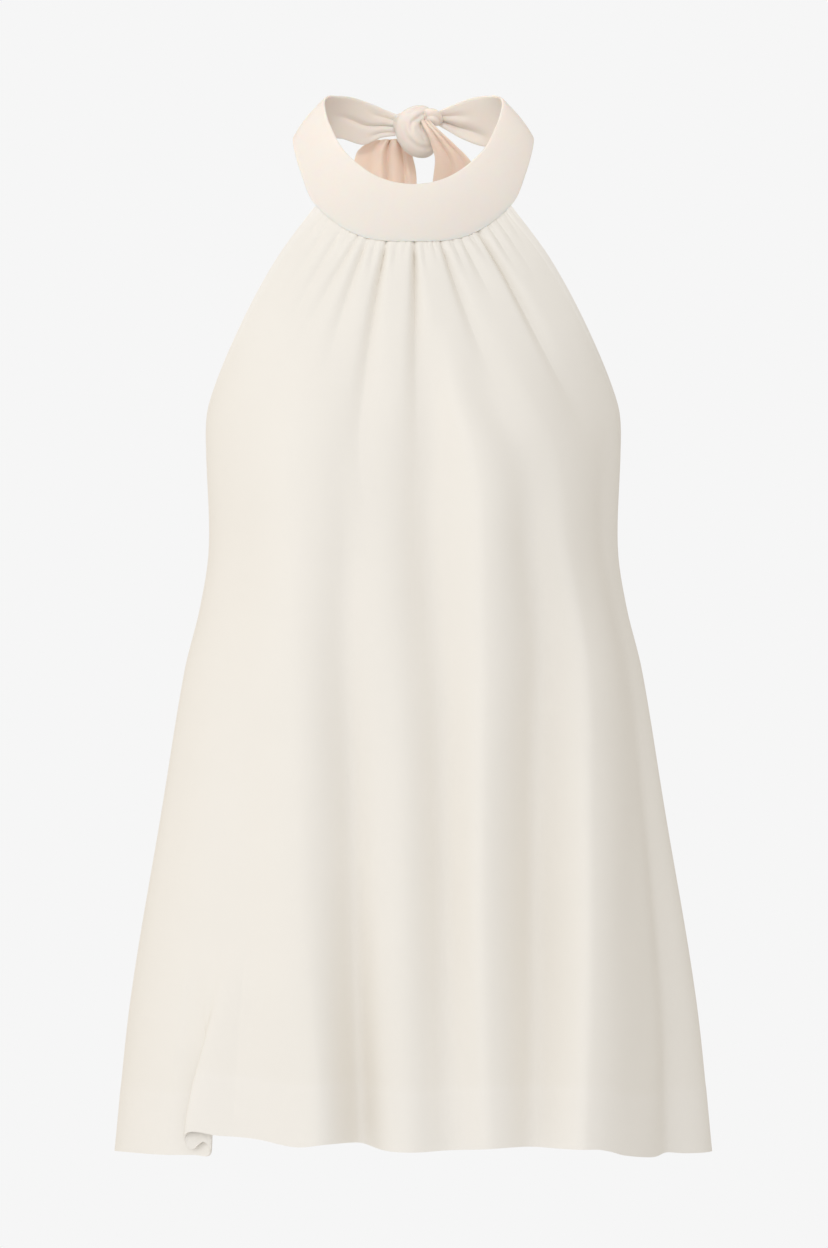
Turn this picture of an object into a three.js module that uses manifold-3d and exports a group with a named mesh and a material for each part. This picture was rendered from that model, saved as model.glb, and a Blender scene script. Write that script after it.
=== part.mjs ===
// Halter neck top in soft crepe, filled out as worn with nobody in it: a wide neckband that runs
// into two ties knotted at the nape, a gathered flared front and a flared back with an open top.
// Millimetres, +Z up. The front faces -Y and the origin is the centre of the neck opening.
import * as THREE from "three";
import { mergeVertices } from "three/addons/utils/BufferGeometryUtils.js";
import Module from "manifold-3d";

const wasm = await Module();
wasm.setup();

// Cloth thicknesses and the gap at every seam
const PANEL_WALL = 1.6;
const BAND_WALL = 2.6;
const TIE_WALL = 2.2;
const SEAM_GAP = 0.35;

// Lengths down the centre front, from the neckband seam
const UNDERARM_DROP = 162;
const HEM_DROP = 657;

// The neckband seam reaches this far round the neck on each side of the centre front, in degrees
const SEAM_TURN = 51.5;
const SIDE_TURN = 90;

// Half the front: the end of each row (armhole edge, then side seam) and its middle
const FRONT_ROWS = [
  { drop: 0, endX: 72, endY: -53, endZ: -54, midY: -86, midZ: -83, turn: SEAM_TURN },
  { drop: 40, endX: 101, endY: -64, endZ: -95, midY: -99, midZ: -121, turn: 60 },
  { drop: 85, endX: 128, endY: -59.5, endZ: -145, midY: -112, midZ: -165, turn: 70 },
  { drop: 135, endX: 150.6, endY: -25, endZ: -196, midY: -124, midZ: -215, turn: 83 },
  { drop: UNDERARM_DROP, endX: 154.6, endY: -8, endZ: -221, midY: -128, midZ: -242, turn: SIDE_TURN },
  { drop: 225, endX: 152.4, endY: -8, endZ: -303, midY: -131, midZ: -307, turn: SIDE_TURN },
  { drop: 270, endX: 159, endY: -8, endZ: -350, midY: -133, midZ: -351, turn: SIDE_TURN },
  { drop: 315, endX: 170.5, endY: -8, endZ: -397, midY: -135, midZ: -396, turn: SIDE_TURN },
  { drop: 415, endX: 187.2, endY: -8, endZ: -499, midY: -140, midZ: -496, turn: SIDE_TURN },
  { drop: 555, endX: 211, endY: -8, endZ: -643, midY: -148, midZ: -636, turn: SIDE_TURN },
  { drop: HEM_DROP, endX: 222.8, endY: -8, endZ: -757, midY: -153, midZ: -740, turn: SIDE_TURN },
];

// The middle of each row of the back, which shares its ends with the front's side seam
const BACK_ROWS = [
  { drop: UNDERARM_DROP, midY: 83, midZ: -243 },
  { drop: 225, midY: 84, midZ: -307 },
  { drop: 315, midY: 94, midZ: -396 },
  { drop: 415, midY: 106, midZ: -495 },
  { drop: 555, midY: 124, midZ: -636 },
  { drop: HEM_DROP, midY: 138, midZ: -748 },
];

// The front hem's height across the panel: share runs from -1 at one side seam to 1 at the other
const FRONT_HEM = [
  { share: -1, z: -757 },
  { share: -0.8, z: -753 },
  { share: -0.6, z: -749.5 },
  { share: -0.555, z: -747.5 },
  { share: -0.5, z: -734 },
  { share: -0.44, z: -733.5 },
  { share: -0.335, z: -734.5 },
  { share: -0.24, z: -738.5 },
  { share: -0.17, z: -736 },
  { share: -0.12, z: -737.5 },
  { share: -0.05, z: -741.5 },
  { share: 0.08, z: -740.8 },
  { share: 0.18, z: -738.5 },
  { share: 0.28, z: -739.5 },
  { share: 0.36, z: -739.5 },
  { share: 0.4, z: -742 },
  { share: 0.45, z: -746.5 },
  { share: 0.58, z: -752 },
  { share: 0.7, z: -752 },
  { share: 0.8, z: -754.5 },
  { share: 1, z: -757 },
];

// Gathers under the neckband: a trough starts at share "seam", runs "reach" down and ends at "foot"
const GATHERS = [
  { seam: -0.9, foot: -0.86, reach: 45, depth: 1.3 },
  { seam: -0.81, foot: -0.76, reach: 60, depth: 1.8 },
  { seam: -0.674, foot: -0.64, reach: 85, depth: 2.4 },
  { seam: -0.59, foot: -0.6, reach: 55, depth: 1.6 },
  { seam: -0.514, foot: -0.55, reach: 95, depth: 2.6 },
  { seam: -0.421, foot: -0.35, reach: 120, depth: 3 },
  { seam: -0.335, foot: -0.28, reach: 45, depth: 1.8 },
  { seam: -0.245, foot: -0.16, reach: 150, depth: 3.6 },
  { seam: -0.147, foot: -0.13, reach: 40, depth: 1.6 },
  { seam: -0.07, foot: -0.07, reach: 30, depth: 1.2 },
  { seam: 0.005, foot: 0.015, reach: 210, depth: 4 },
  { seam: 0.085, foot: 0.1, reach: 40, depth: 2 },
  { seam: 0.165, foot: 0.19, reach: 30, depth: 1.2 },
  { seam: 0.242, foot: 0.33, reach: 130, depth: 3 },
  { seam: 0.345, foot: 0.37, reach: 45, depth: 1.8 },
  { seam: 0.43, foot: 0.46, reach: 60, depth: 2.4 },
  { seam: 0.52, foot: 0.56, reach: 35, depth: 1.3 },
  { seam: 0.61, foot: 0.63, reach: 150, depth: 3.8 },
  { seam: 0.715, foot: 0.7, reach: 60, depth: 2 },
  { seam: 0.81, foot: 0.8, reach: 60, depth: 1.6 },
  { seam: 0.9, foot: 0.87, reach: 40, depth: 1.2 },
];
const GATHER_WIDTH = 0.03;
const GATHER_SPREAD = 0.035;
const GATHER_AT_SEAM = 0.4;
const GATHER_RISE = 16;
const PUFF = 2.2;

// The front's long folds from left to right, ridges (a, c, e, g) and valleys (b, d, f, h): the share
// where each lies at a drop, and how far it is pushed out there
const FOLD_SHARES = [
  { drop: 60, a: -0.46, b: -0.28, c: -0.06, d: 0.09, e: 0.18, f: 0.27, g: 0.44, h: 0.6 },
  { drop: 115, a: -0.43, b: -0.227, c: -0.04, d: 0.08, e: 0.16, f: 0.26, g: 0.44, h: 0.66 },
  { drop: 190, a: -0.38, b: -0.205, c: -0.057, d: 0.045, e: 0.205, f: 0.35, g: 0.48, h: 0.76 },
  { drop: 262, a: -0.34, b: -0.207, c: -0.054, d: 0.06, e: 0.21, f: 0.39, g: 0.52, h: 0.82 },
  { drop: 338, a: -0.29, b: -0.182, c: -0.031, d: 0.075, e: 0.19, f: 0.36, g: 0.48, h: 0.82 },
  { drop: 410, a: -0.262, b: -0.16, c: -0.02, d: 0.078, e: 0.175, f: 0.335, g: 0.445, h: 0.77 },
  { drop: 487, a: -0.242, b: -0.145, c: -0.02, d: 0.078, e: 0.16, f: 0.31, g: 0.41, h: 0.7 },
  { drop: HEM_DROP, a: -0.165, b: -0.118, c: 0.005, d: 0.07, e: 0.165, f: 0.27, g: 0.35, h: 0.6 },
];
const FOLD_LIFTS = [
  { drop: 60, a: 0, b: 0, c: 0, d: 0, e: 0, f: 0, g: 0, h: 0 },
  { drop: 115, a: 1, b: -1, c: 1, d: -3, e: 5, f: -3, g: 3, h: -4 },
  { drop: 190, a: 2, b: -2, c: 1, d: -7, e: 11, f: -6, g: 7, h: -8 },
  { drop: 262, a: 3, b: -4, c: 3, d: -8, e: 13, f: -11, g: 14, h: -13 },
  { drop: 338, a: 6, b: -8, c: 4, d: -8, e: 14, f: -15, g: 20, h: -18 },
  { drop: 487, a: 8, b: -13, c: 4, d: -9, e: 15, f: -17, g: 25, h: -26 },
  { drop: HEM_DROP, a: 9, b: -20, c: 4, d: -4, e: 11, f: -15, g: 24, h: -28 },
];
// How wide each fold is to its left and its right near the hem, and how much wider at the chest
const FOLD_WIDTHS = {
  a: { left: 0.12, right: 0.045 },
  b: { left: 0.04, right: 0.05 },
  c: { left: 0.05, right: 0.05 },
  d: { left: 0.05, right: 0.045 },
  e: { left: 0.045, right: 0.06 },
  f: { left: 0.055, right: 0.04 },
  g: { left: 0.045, right: 0.055 },
  h: { left: 0.09, right: 0.25 },
};
const FOLD_SPREAD = 0.45;
// How many steps of the wall lie between one fold and the next, from the doubled fold to the right side
const FOLD_STEPS = { a: 5, b: 3, c: 4, d: 3, e: 3, f: 4, g: 4, h: 8, side: 6 };
const STEPS_FOLLOW = { from: 160, to: 320 };

// The back's long soft waves: from share "top" at drop "from" to share "hem"; a positive lift stands proud
const BACK_WAVES = [
  { top: -0.62, hem: -0.66, from: 200, lift: 10, wide: 0.09 },
  { top: -0.46, hem: -0.48, from: 230, lift: -12, wide: 0.07 },
  { top: -0.28, hem: -0.31, from: 180, lift: 11, wide: 0.08 },
  { top: -0.12, hem: -0.13, from: 240, lift: -10, wide: 0.07 },
  { top: 0.04, hem: 0.03, from: 200, lift: 10, wide: 0.075 },
  { top: 0.19, hem: 0.2, from: 190, lift: -13, wide: 0.075 },
  { top: 0.35, hem: 0.37, from: 230, lift: 10, wide: 0.08 },
  { top: 0.5, hem: 0.54, from: 210, lift: -11, wide: 0.08 },
  { top: 0.66, hem: 0.71, from: 240, lift: 9, wide: 0.09 },
];
const WAVE_AT_START = 0.12;

// The bust that the cloth hangs from
const BUST = { x: 78, z: -230, lift: 12, wide: 46, above: 54, below: 190 };

// The collapsed fold beside the left side seam, where the hem doubles over itself in three layers
const TUCK = { share: -0.53, half: 0.095, slip: 25.5, lift: 5.2, roundness: 0.3, from: 520 };

// The neckband from the centre front (turn 0) to the knot, as its two edges; x is for one side
const BAND_ROWS = [
  { turn: -25, topX: -27, topY: -56.5, topZ: -32.5, lowX: -39, lowY: -78, lowZ: -78.5 },
  { turn: 0, topX: 0, topY: -62, topZ: -39, lowX: 0, lowY: -86, lowZ: -83 },
  { turn: 25, topX: 27, topY: -56.5, topZ: -32.5, lowX: 39, lowY: -78, lowZ: -78.5 },
  { turn: SEAM_TURN, topX: 50.5, topY: -37.5, topZ: -12.5, lowX: 72, lowY: -53, lowZ: -54 },
  { turn: 72, topX: 62, topY: -14, topZ: 9.5, lowX: 84.5, lowY: -27, lowZ: -25 },
  { turn: 90, topX: 66.5, topY: 7, topZ: 27, lowX: 90, lowY: 0, lowZ: -1 },
  { turn: 108, topX: 64.5, topY: 22, topZ: 35, lowX: 85, lowY: 24, lowZ: 4 },
  { turn: 124, topX: 57, topY: 35, topZ: 37, lowX: 71.5, lowY: 43, lowZ: 5.5 },
  { turn: 138, topX: 45.5, topY: 46, topZ: 37, lowX: 55, lowY: 54, lowZ: 6.5 },
  { turn: 150, topX: 31.5, topY: 54, topZ: 33, lowX: 38, lowY: 59, lowZ: 2.5 },
  { turn: 160, topX: 20, topY: 58, topZ: 28.5, lowX: 24, lowY: 60.5, lowZ: 8 },
  { turn: 167, topX: 12.5, topY: 59, topZ: 25.5, lowX: 13.5, lowY: 60, lowZ: 9.5 },
];
// How much the lower edge of the right strap is moved up, because it rolls in towards the knot
const RIGHT_RISE = [
  { turn: 0, rise: 0 },
  { turn: 100, rise: 0 },
  { turn: 124, rise: -3 },
  { turn: 138, rise: -6 },
  { turn: 150, rise: 4 },
  { turn: 160, rise: 6.5 },
  { turn: 167, rise: 11 },
];
const BAND_CROWN = 2.2;
const PLEATS_FROM = 108;
const PLEATS_TO = 155;
const PLEAT_DEPTH = 1.7;
const PLEAT_COUNT = 1.5;

// The knot's lobes: the left tie wrapped over the front, the tongue of cloth under its bend, the
// right tie's small loop and a rolled edge
const WRAP_PATH = [
  { x: 11, y: 62, z: 25.5, r: 4 },
  { x: 7, y: 57, z: 27, r: 5.5 },
  { x: 1, y: 53, z: 23.5, r: 8 },
  { x: -4, y: 51, z: 17, r: 10 },
  { x: -2.5, y: 50, z: 9, r: 10.6 },
  { x: 2.5, y: 50.5, z: 2, r: 10.2 },
  { x: 8, y: 53, z: 1, r: 9 },
  { x: 11.5, y: 58, z: 3, r: 6.5 },
];
const TONGUE_PATH = [
  { x: 3, y: 54, z: 15.5, r: 3 },
  { x: 7.5, y: 52, z: 12.5, r: 5.2 },
  { x: 9, y: 51, z: 7.5, r: 6.4 },
  { x: 8.5, y: 52, z: 2, r: 6.8 },
];
const LOOP_PATH = [
  { x: 9.5, y: 54, z: 20.5, r: 3.6 },
  { x: 11.5, y: 51, z: 23.5, r: 4.6 },
  { x: 15.5, y: 51.5, z: 23.8, r: 4.8 },
  { x: 18.5, y: 55, z: 21.5, r: 4.2 },
  { x: 18, y: 59.5, z: 18.5, r: 3.6 },
];
const ROLL_PATH = [
  { x: -12, y: 56, z: 5, r: 3 },
  { x: -8.5, y: 52, z: 5, r: 3.6 },
  { x: -5.5, y: 52, z: 0.5, r: 3.5 },
  { x: -5, y: 56, z: -3.5, r: 2.8 },
];
const LOBE_SIDES = 14;
const LOBE_STEPS = 3;
const LOBE_END = 1.5;
const FINEST = 0.06;

// The ties' tails, from the knot to the cut end: the middle, the width, how far the folds stand and
// how far the edge beside the knot swings forward
const LEFT_TAIL = [
  { z: 7, x: -19, y: 64, width: 24, fold: 1.6, swing: 9 },
  { z: 1, x: -21.5, y: 64, width: 38, fold: 2, swing: 9 },
  { z: -6, x: -22.5, y: 65, width: 44, fold: 2.2, swing: 5 },
  { z: -24, x: -22.5, y: 66, width: 50, fold: 1.7, swing: 2 },
  { z: -60, x: -25, y: 68, width: 50, fold: 1.3, swing: 0 },
  { z: -120, x: -28, y: 70, width: 50, fold: 0.9, swing: 0 },
  { z: -184, x: -29, y: 71, width: 50, fold: 0.7, swing: 0 },
];
const RIGHT_TAIL = [
  { z: 20, x: 9, y: 49, width: 6.5, fold: 0.2, swing: 0 },
  { z: 16, x: 11, y: 42, width: 8.5, fold: 0.3, swing: 0 },
  { z: 9, x: 16.5, y: 38.5, width: 12, fold: 0.5, swing: 0 },
  { z: 0, x: 23, y: 40, width: 18.5, fold: 0.9, swing: 0 },
  { z: -10, x: 29.3, y: 42.5, width: 26, fold: 1.3, swing: 0 },
  { z: -24, x: 32.5, y: 47, width: 35, fold: 1.5, swing: 0 },
  { z: -44, x: 35, y: 54, width: 45, fold: 1.4, swing: 0 },
  { z: -80, x: 36, y: 62, width: 50, fold: 1.2, swing: 0 },
  { z: -130, x: 37, y: 67, width: 50, fold: 0.9, swing: 0 },
  { z: -178, x: 37.5, y: 69, width: 50, fold: 0.7, swing: 0 },
];
const TAIL_PLEATS = 3.5;
const TAIL_SLANT = 9;

const CREAM = 0xefe8dc;
const CREAM_BAND = 0xefe6da;

const radians = THREE.MathUtils.degToRad;
const bell = (offset) => Math.exp(-offset * offset);

// A smooth curve through a column of a table, read at any value of the table's key column
function reader(rows, key) {
  const last = rows.length - 1;
  const slope = (k, column) => {
    const before = rows[Math.max(k - 1, 0)];
    const after = rows[Math.min(k + 1, last)];
    return (after[column] - before[column]) / (after[key] - before[key]);
  };
  return (at, column) => {
    const value = THREE.MathUtils.clamp(
      at,
      Math.min(rows[0][key], rows[last][key]),
      Math.max(rows[0][key], rows[last][key]),
    );
    let i = 0;
    while (i < last - 1 && (value - rows[i + 1][key]) * (value - rows[0][key]) > 0) {
      i += 1;
    }
    const span = rows[i + 1][key] - rows[i][key];
    const t = (value - rows[i][key]) / span;
    const from = rows[i][column];
    const to = rows[i + 1][column];
    const rise = to - from;
    const bend = span * (slope(i, column) * (1 - t) - slope(i + 1, column) * t);
    return from + rise * t * t * (3 - 2 * t) + bend * t * (1 - t);
  };
}

const frontRow = reader(FRONT_ROWS, "drop");
const backRow = reader(BACK_ROWS, "drop");
const bandRow = reader(BAND_ROWS, "turn");
const rightRise = reader(RIGHT_RISE, "turn");
const foldShare = reader(FOLD_SHARES, "drop");
const foldPush = reader(FOLD_LIFTS, "drop");
const frontHem = reader(FRONT_HEM, "share");

// A point on the neckband: turn in degrees from the centre front, across from 0 (top) to 1 (bottom)
function bandPoint(turn, across) {
  const side = Math.sign(turn) || 1;
  const away = Math.abs(turn);
  const top = new THREE.Vector3(
    side * bandRow(away, "topX"),
    bandRow(away, "topY"),
    bandRow(away, "topZ"),
  );
  const low = new THREE.Vector3(
    side * bandRow(away, "lowX"),
    bandRow(away, "lowY"),
    bandRow(away, "lowZ") + (side > 0 ? rightRise(away, "rise") : 0),
  );
  const point = top.lerp(low, across);
  const outward = new THREE.Vector3(point.x, point.y, 12).normalize();
  const pleated = THREE.MathUtils.smoothstep(away, PLEATS_FROM, PLEATS_TO) * PLEAT_DEPTH;
  const lift =
    BAND_CROWN * (1 - pleated / PLEAT_DEPTH) * Math.sin(Math.PI * across) +
    pleated * Math.sin(2 * Math.PI * PLEAT_COUNT * across) * Math.sin(Math.PI * across);
  return point.addScaledVector(outward, lift);
}

// The neckband's lower edge at a share of the front: the way down the band and the way out of it
function bandEdge(share) {
  const turn = share * SEAM_TURN;
  const low = bandPoint(turn, 1);
  const down = low.clone().sub(bandPoint(turn, 1 - 1 / BAND_ACROSS)).normalize();
  const along = bandPoint(turn + 1, 1).sub(bandPoint(turn - 1, 1));
  return { low, down, out: down.clone().cross(along).normalize() };
}

// Where the front's top edge lies: just under the neckband's lower edge
function seamPoint(share) {
  const { low, down } = bandEdge(share);
  return low.addScaledVector(down, SEAM_GAP);
}

// The outward push of the front's long folds
function foldLift(share, drop) {
  const spread = 1 + FOLD_SPREAD * (1 - THREE.MathUtils.smoothstep(drop, 200, 500));
  let lift = 0;
  for (const [name, { left, right }] of Object.entries(FOLD_WIDTHS)) {
    const offset = share - foldShare(drop, name);
    lift += foldPush(drop, name) * bell(offset / ((offset < 0 ? left : right) * spread));
  }
  return lift * (1 - share ** 8) ** 2;
}

// The outward push of the back's long waves
function waveLift(share, drop) {
  let lift = 0;
  for (const wave of BACK_WAVES) {
    const grown = THREE.MathUtils.clamp((drop - wave.from) / (HEM_DROP - wave.from), 0, 1);
    const begun = THREE.MathUtils.smoothstep(drop, wave.from - 60, wave.from + 60);
    const middle = THREE.MathUtils.lerp(wave.top, wave.hem, grown);
    const size = WAVE_AT_START * begun + (1 - WAVE_AT_START) * grown;
    lift += wave.lift * size * bell((share - middle) / wave.wide);
  }
  return lift * (1 - share ** 8);
}

// The gathers' troughs and the fullness that puffs out just below the seam
function gatherLift(share, drop) {
  const risen = GATHER_AT_SEAM + (1 - GATHER_AT_SEAM) * THREE.MathUtils.smoothstep(drop, 0, GATHER_RISE);
  let lift = PUFF * THREE.MathUtils.smoothstep(drop, 0, GATHER_RISE) * Math.exp(-drop / 70);
  for (const gather of GATHERS) {
    const gone = Math.min(drop / gather.reach, 1);
    const middle = THREE.MathUtils.lerp(gather.seam, gather.foot, gone);
    const wide = GATHER_WIDTH + GATHER_SPREAD * gone;
    const left = 1 - THREE.MathUtils.smoothstep(gone, 0.25, 1);
    lift -= gather.depth * risen * left * bell((share - middle) / wide);
  }
  return lift * (1 - share ** 8);
}

function bustLift(x, z) {
  const reach = z > BUST.z ? BUST.above : BUST.below;
  return BUST.lift * bell((Math.abs(x) - BUST.x) / BUST.wide) * bell((z - BUST.z) / reach);
}

// A row's curve before any fold: an arc from its middle out to its end
function rowPoint(share, turn, end, middle, lean) {
  const angle = share * turn;
  const deep = (end.y - middle.y) / (1 - Math.cos(turn));
  return new THREE.Vector3(
    (end.x * Math.sin(angle)) / Math.sin(turn),
    middle.y + deep * (1 - Math.cos(angle)),
    THREE.MathUtils.lerp(middle.z, end.z, Math.abs(share) ** lean),
  );
}

function frontBase(share, drop) {
  const end = { x: frontRow(drop, "endX"), y: frontRow(drop, "endY"), z: frontRow(drop, "endZ") };
  const middle = { y: frontRow(drop, "midY"), z: frontRow(drop, "midZ") };
  end.y -= SEAM_GAP / 2;
  const point = rowPoint(share, radians(frontRow(drop, "turn")), end, middle, 2.4);
  const hem = THREE.MathUtils.smoothstep(drop, 330, HEM_DROP) ** 2;
  const flat = THREE.MathUtils.lerp(-740, -757, Math.abs(share) ** 2.4);
  point.z += hem * (frontHem(share, "z") - flat);
  return point;
}

function backBase(share, drop) {
  const end = { x: frontRow(drop, "endX"), y: frontRow(drop, "endY"), z: frontRow(drop, "endZ") };
  const middle = { y: backRow(drop, "midY"), z: backRow(drop, "midZ") };
  end.y += SEAM_GAP / 2;
  return rowPoint(share, Math.PI / 2, end, middle, 3);
}

// The direction out of a ring of the body, level with the ground
function outwardAt(base, share, drop) {
  const step = 0.004;
  const along = base(share + step, drop).sub(base(share - step, drop));
  const out = new THREE.Vector3(along.y, -along.x, 0).normalize();
  return { along: along.normalize(), out };
}

function frontPoint(share, drop) {
  const point = frontBase(share, drop);
  const { along, out } = outwardAt(frontBase, share, drop);
  const fade = (1 - Math.min(drop / 40, 1)) ** 2;
  point.addScaledVector(seamPoint(share).sub(frontBase(share, 0)), fade);
  out.lerp(bandEdge(share).out, fade).normalize();
  point.y -= bustLift(point.x, point.z);
  point.addScaledVector(out, gatherLift(share, drop) + foldLift(share, drop));
  const tucked = THREE.MathUtils.smoothstep(drop, TUCK.from, HEM_DROP);
  const across = THREE.MathUtils.clamp((share - TUCK.share) / TUCK.half, -1, 1);
  const apart = Math.sin(Math.PI * across) - TUCK.roundness * Math.sin(2 * Math.PI * across);
  point.addScaledVector(along, -TUCK.slip * tucked * Math.sin(Math.PI * across));
  point.addScaledVector(out, TUCK.lift * Math.sqrt(tucked) * apart);
  return point;
}

function backPoint(share, drop) {
  const point = backBase(share, drop);
  const { out } = outwardAt(backBase, share, drop);
  return point.addScaledVector(out, -waveLift(share, drop));
}

// A point on a tie's tail: across from 0 to 1, down from 0 (knot) to 1 (cut end)
function tailPoint(rows, across, down, slant) {
  const read = reader(rows, "step");
  const at = down * (rows.length - 1);
  const width = read(at, "width");
  const pleat = read(at, "fold") * Math.sin(2 * Math.PI * TAIL_PLEATS * across + 0.6);
  return new THREE.Vector3(
    read(at, "x") + (across - 0.5) * width,
    read(at, "y") + (0.5 - across) * read(at, "swing") + pleat * Math.sin(Math.PI * across) ** 0.5,
    read(at, "z") + slant * (across - 0.5) * down ** 6,
  );
}

// Joins rows of points into triangles. A row may have half as many steps as the one above it.
function weave(rows) {
  const points = rows.flat();
  const starts = rows.map((_, i) => rows.slice(0, i).reduce((sum, row) => sum + row.length, 0));
  const triangles = [];
  for (let r = 0; r + 1 < rows.length; r += 1) {
    const [upper, lower] = [starts[r], starts[r + 1]];
    const steps = rows[r + 1].length - 1;
    const halved = rows[r].length - 1 === 2 * steps;
    for (let i = 0; i < steps; i += 1) {
      if (halved) {
        const above = upper + 2 * i;
        triangles.push([above, lower + i, above + 1]);
        triangles.push([above + 1, lower + i, lower + i + 1]);
        triangles.push([above + 1, lower + i + 1, above + 2]);
      } else {
        triangles.push([upper + i, lower + i, upper + i + 1]);
        triangles.push([upper + i + 1, lower + i, lower + i + 1]);
      }
    }
  }
  return { points, triangles };
}

// Gives a woven sheet its thickness: both faces and a rim round every free edge. The first points
// can be given the directions of the piece that they are sewn to.
function thicken({ points, triangles }, wall, sewn = []) {
  const normals = points.map(() => new THREE.Vector3());
  const edges = new Map();
  for (const [a, b, c] of triangles) {
    const face = points[b].clone().sub(points[a]).cross(points[c].clone().sub(points[a]));
    for (const k of [a, b, c]) {
      normals[k].add(face);
    }
    for (const [from, to] of [[a, b], [b, c], [c, a]]) {
      if (edges.has(`${to},${from}`)) {
        edges.delete(`${to},${from}`);
      } else {
        edges.set(`${from},${to}`, [from, to]);
      }
    }
  }
  sewn.forEach((out, i) => normals[i].copy(out));
  const count = points.length;
  const outer = points.map((p, i) => p.clone().addScaledVector(normals[i].normalize(), wall / 2));
  const inner = points.map((p, i) => p.clone().addScaledVector(normals[i], -wall / 2));
  const index = triangles.flatMap(([a, b, c]) => [a, b, c, c + count, b + count, a + count]);
  for (const [from, to] of edges.values()) {
    index.push(to, from, to + count, to + count, from, from + count);
  }
  const made = new THREE.BufferGeometry().setFromPoints([...outer, ...inner]);
  made.setIndex(index);
  return made;
}

// The places across the front at a drop: even steps, closer through the doubled fold, which follow
// the long folds below the chest so that each ridge and valley has a line of its own
function frontShares(drop) {
  const left = TUCK.share - TUCK.half;
  const right = TUCK.share + TUCK.half;
  const follow = THREE.MathUtils.smoothstep(drop, STEPS_FOLLOW.from, STEPS_FOLLOW.to);
  const even = evenly(right, 1, Object.values(FOLD_STEPS).reduce((sum, steps) => sum + steps));
  const shares = [...evenly(-1, left, 6), ...evenly(left, right, 12).slice(1)];
  let from = right;
  let count = 0;
  for (const [name, steps] of Object.entries(FOLD_STEPS)) {
    const to = name === "side" ? 1 : foldShare(drop, name);
    for (let i = 1; i <= steps; i += 1) {
      count += 1;
      shares.push(THREE.MathUtils.lerp(even[count], THREE.MathUtils.lerp(from, to, i / steps), follow));
    }
    from = to;
  }
  return shares;
}

const halfway = (shares) =>
  shares.flatMap((share, i) => (i ? [(shares[i - 1] + share) / 2, share] : [share]));

const FINE_DROPS = [0, 5, 11, 18, 27, 38, 51, 67, 86, 108, 133, 160];
const COARSE_DROPS = [190, 225, 265, 310, 355, 400, 445, 490, 528, 560, 590, 615, 637, HEM_DROP];
const BACK_DROPS = [UNDERARM_DROP, 175, 200, 240, 285, 335, 385, 435, 485, 530, 570, 605, 635, HEM_DROP];
const BACK_STEPS = 44;
const BAND_STEPS = 68;
const BAND_TURN = BAND_ROWS.at(-1).turn;
const BAND_ACROSS = 6;
const TAIL_ACROSS = 14;
const TAIL_DOWN = 13;

const evenly = (from, to, steps) =>
  Array.from({ length: steps + 1 }, (_, i) => from + ((to - from) * i) / steps);

function frontPanel() {
  const rows = [
    ...FINE_DROPS.map((drop) => halfway(frontShares(drop)).map((share) => frontPoint(share, drop))),
    ...COARSE_DROPS.map((drop) => frontShares(drop).map((share) => frontPoint(share, drop))),
  ];
  const sewn = halfway(frontShares(0)).map((share) => bandEdge(share).out);
  return thicken(weave(rows), PANEL_WALL, sewn);
}

function backPanel() {
  const shares = evenly(1, -1, BACK_STEPS);
  return thicken(weave(BACK_DROPS.map((drop) => shares.map((share) => backPoint(share, drop)))), PANEL_WALL);
}

function neckband() {
  const turns = evenly(-BAND_TURN, BAND_TURN, BAND_STEPS);
  const rows = evenly(0, 1, BAND_ACROSS).map((across) => turns.map((turn) => bandPoint(turn, across)));
  return thicken(weave(rows), BAND_WALL);
}

function tail(rows, slant) {
  const stepped = rows.map((row, step) => ({ ...row, step }));
  const across = evenly(0, 1, TAIL_ACROSS);
  const downs = evenly(0, 1, TAIL_DOWN);
  const points = downs.map((down) => across.map((at) => tailPoint(stepped, at, down, slant)));
  return thicken(weave(points), TIE_WALL);
}

// A bunched length of tie: round rings along a path, closed at both ends, and grown by "extra"
function lobe(path, extra = 0) {
  const rows = path.map((row, step) => ({ ...row, step }));
  const read = reader(rows, "step");
  const steps = (rows.length - 1) * LOBE_STEPS;
  const middle = (i) => {
    const at = THREE.MathUtils.clamp(i / LOBE_STEPS, 0, rows.length - 1);
    return new THREE.Vector3(read(at, "x"), read(at, "y"), read(at, "z"));
  };
  const points = [];
  for (let i = 0; i <= steps; i += 1) {
    const along = middle(i + 0.5).sub(middle(i - 0.5)).normalize();
    const side = new THREE.Vector3(0, 1, 0).cross(along).normalize();
    const up = along.clone().cross(side);
    for (let k = 0; k < LOBE_SIDES; k += 1) {
      const angle = (2 * Math.PI * k) / LOBE_SIDES;
      const radius = read(i / LOBE_STEPS, "r") + extra;
      points.push(
        middle(i)
          .addScaledVector(side, radius * Math.cos(angle))
          .addScaledVector(up, radius * Math.sin(angle)),
      );
    }
  }
  const start = middle(0).sub(middle(0.5)).normalize();
  const finish = middle(steps).sub(middle(steps - 0.5)).normalize();
  const ends = [
    middle(0).addScaledVector(start, LOBE_END + extra),
    middle(steps).addScaledVector(finish, LOBE_END + extra),
  ];
  const index = [];
  for (let k = 0; k < LOBE_SIDES; k += 1) {
    const next = (k + 1) % LOBE_SIDES;
    for (let i = 0; i < steps; i += 1) {
      const [near, far] = [i * LOBE_SIDES, (i + 1) * LOBE_SIDES];
      index.push(near + k, near + next, far + k, far + k, near + next, far + next);
    }
    index.push(points.length, next, k);
    index.push(points.length + 1, steps * LOBE_SIDES + k, steps * LOBE_SIDES + next);
  }
  const made = new THREE.BufferGeometry().setFromPoints([...points, ...ends]);
  made.setIndex(index);
  return made;
}

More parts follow.
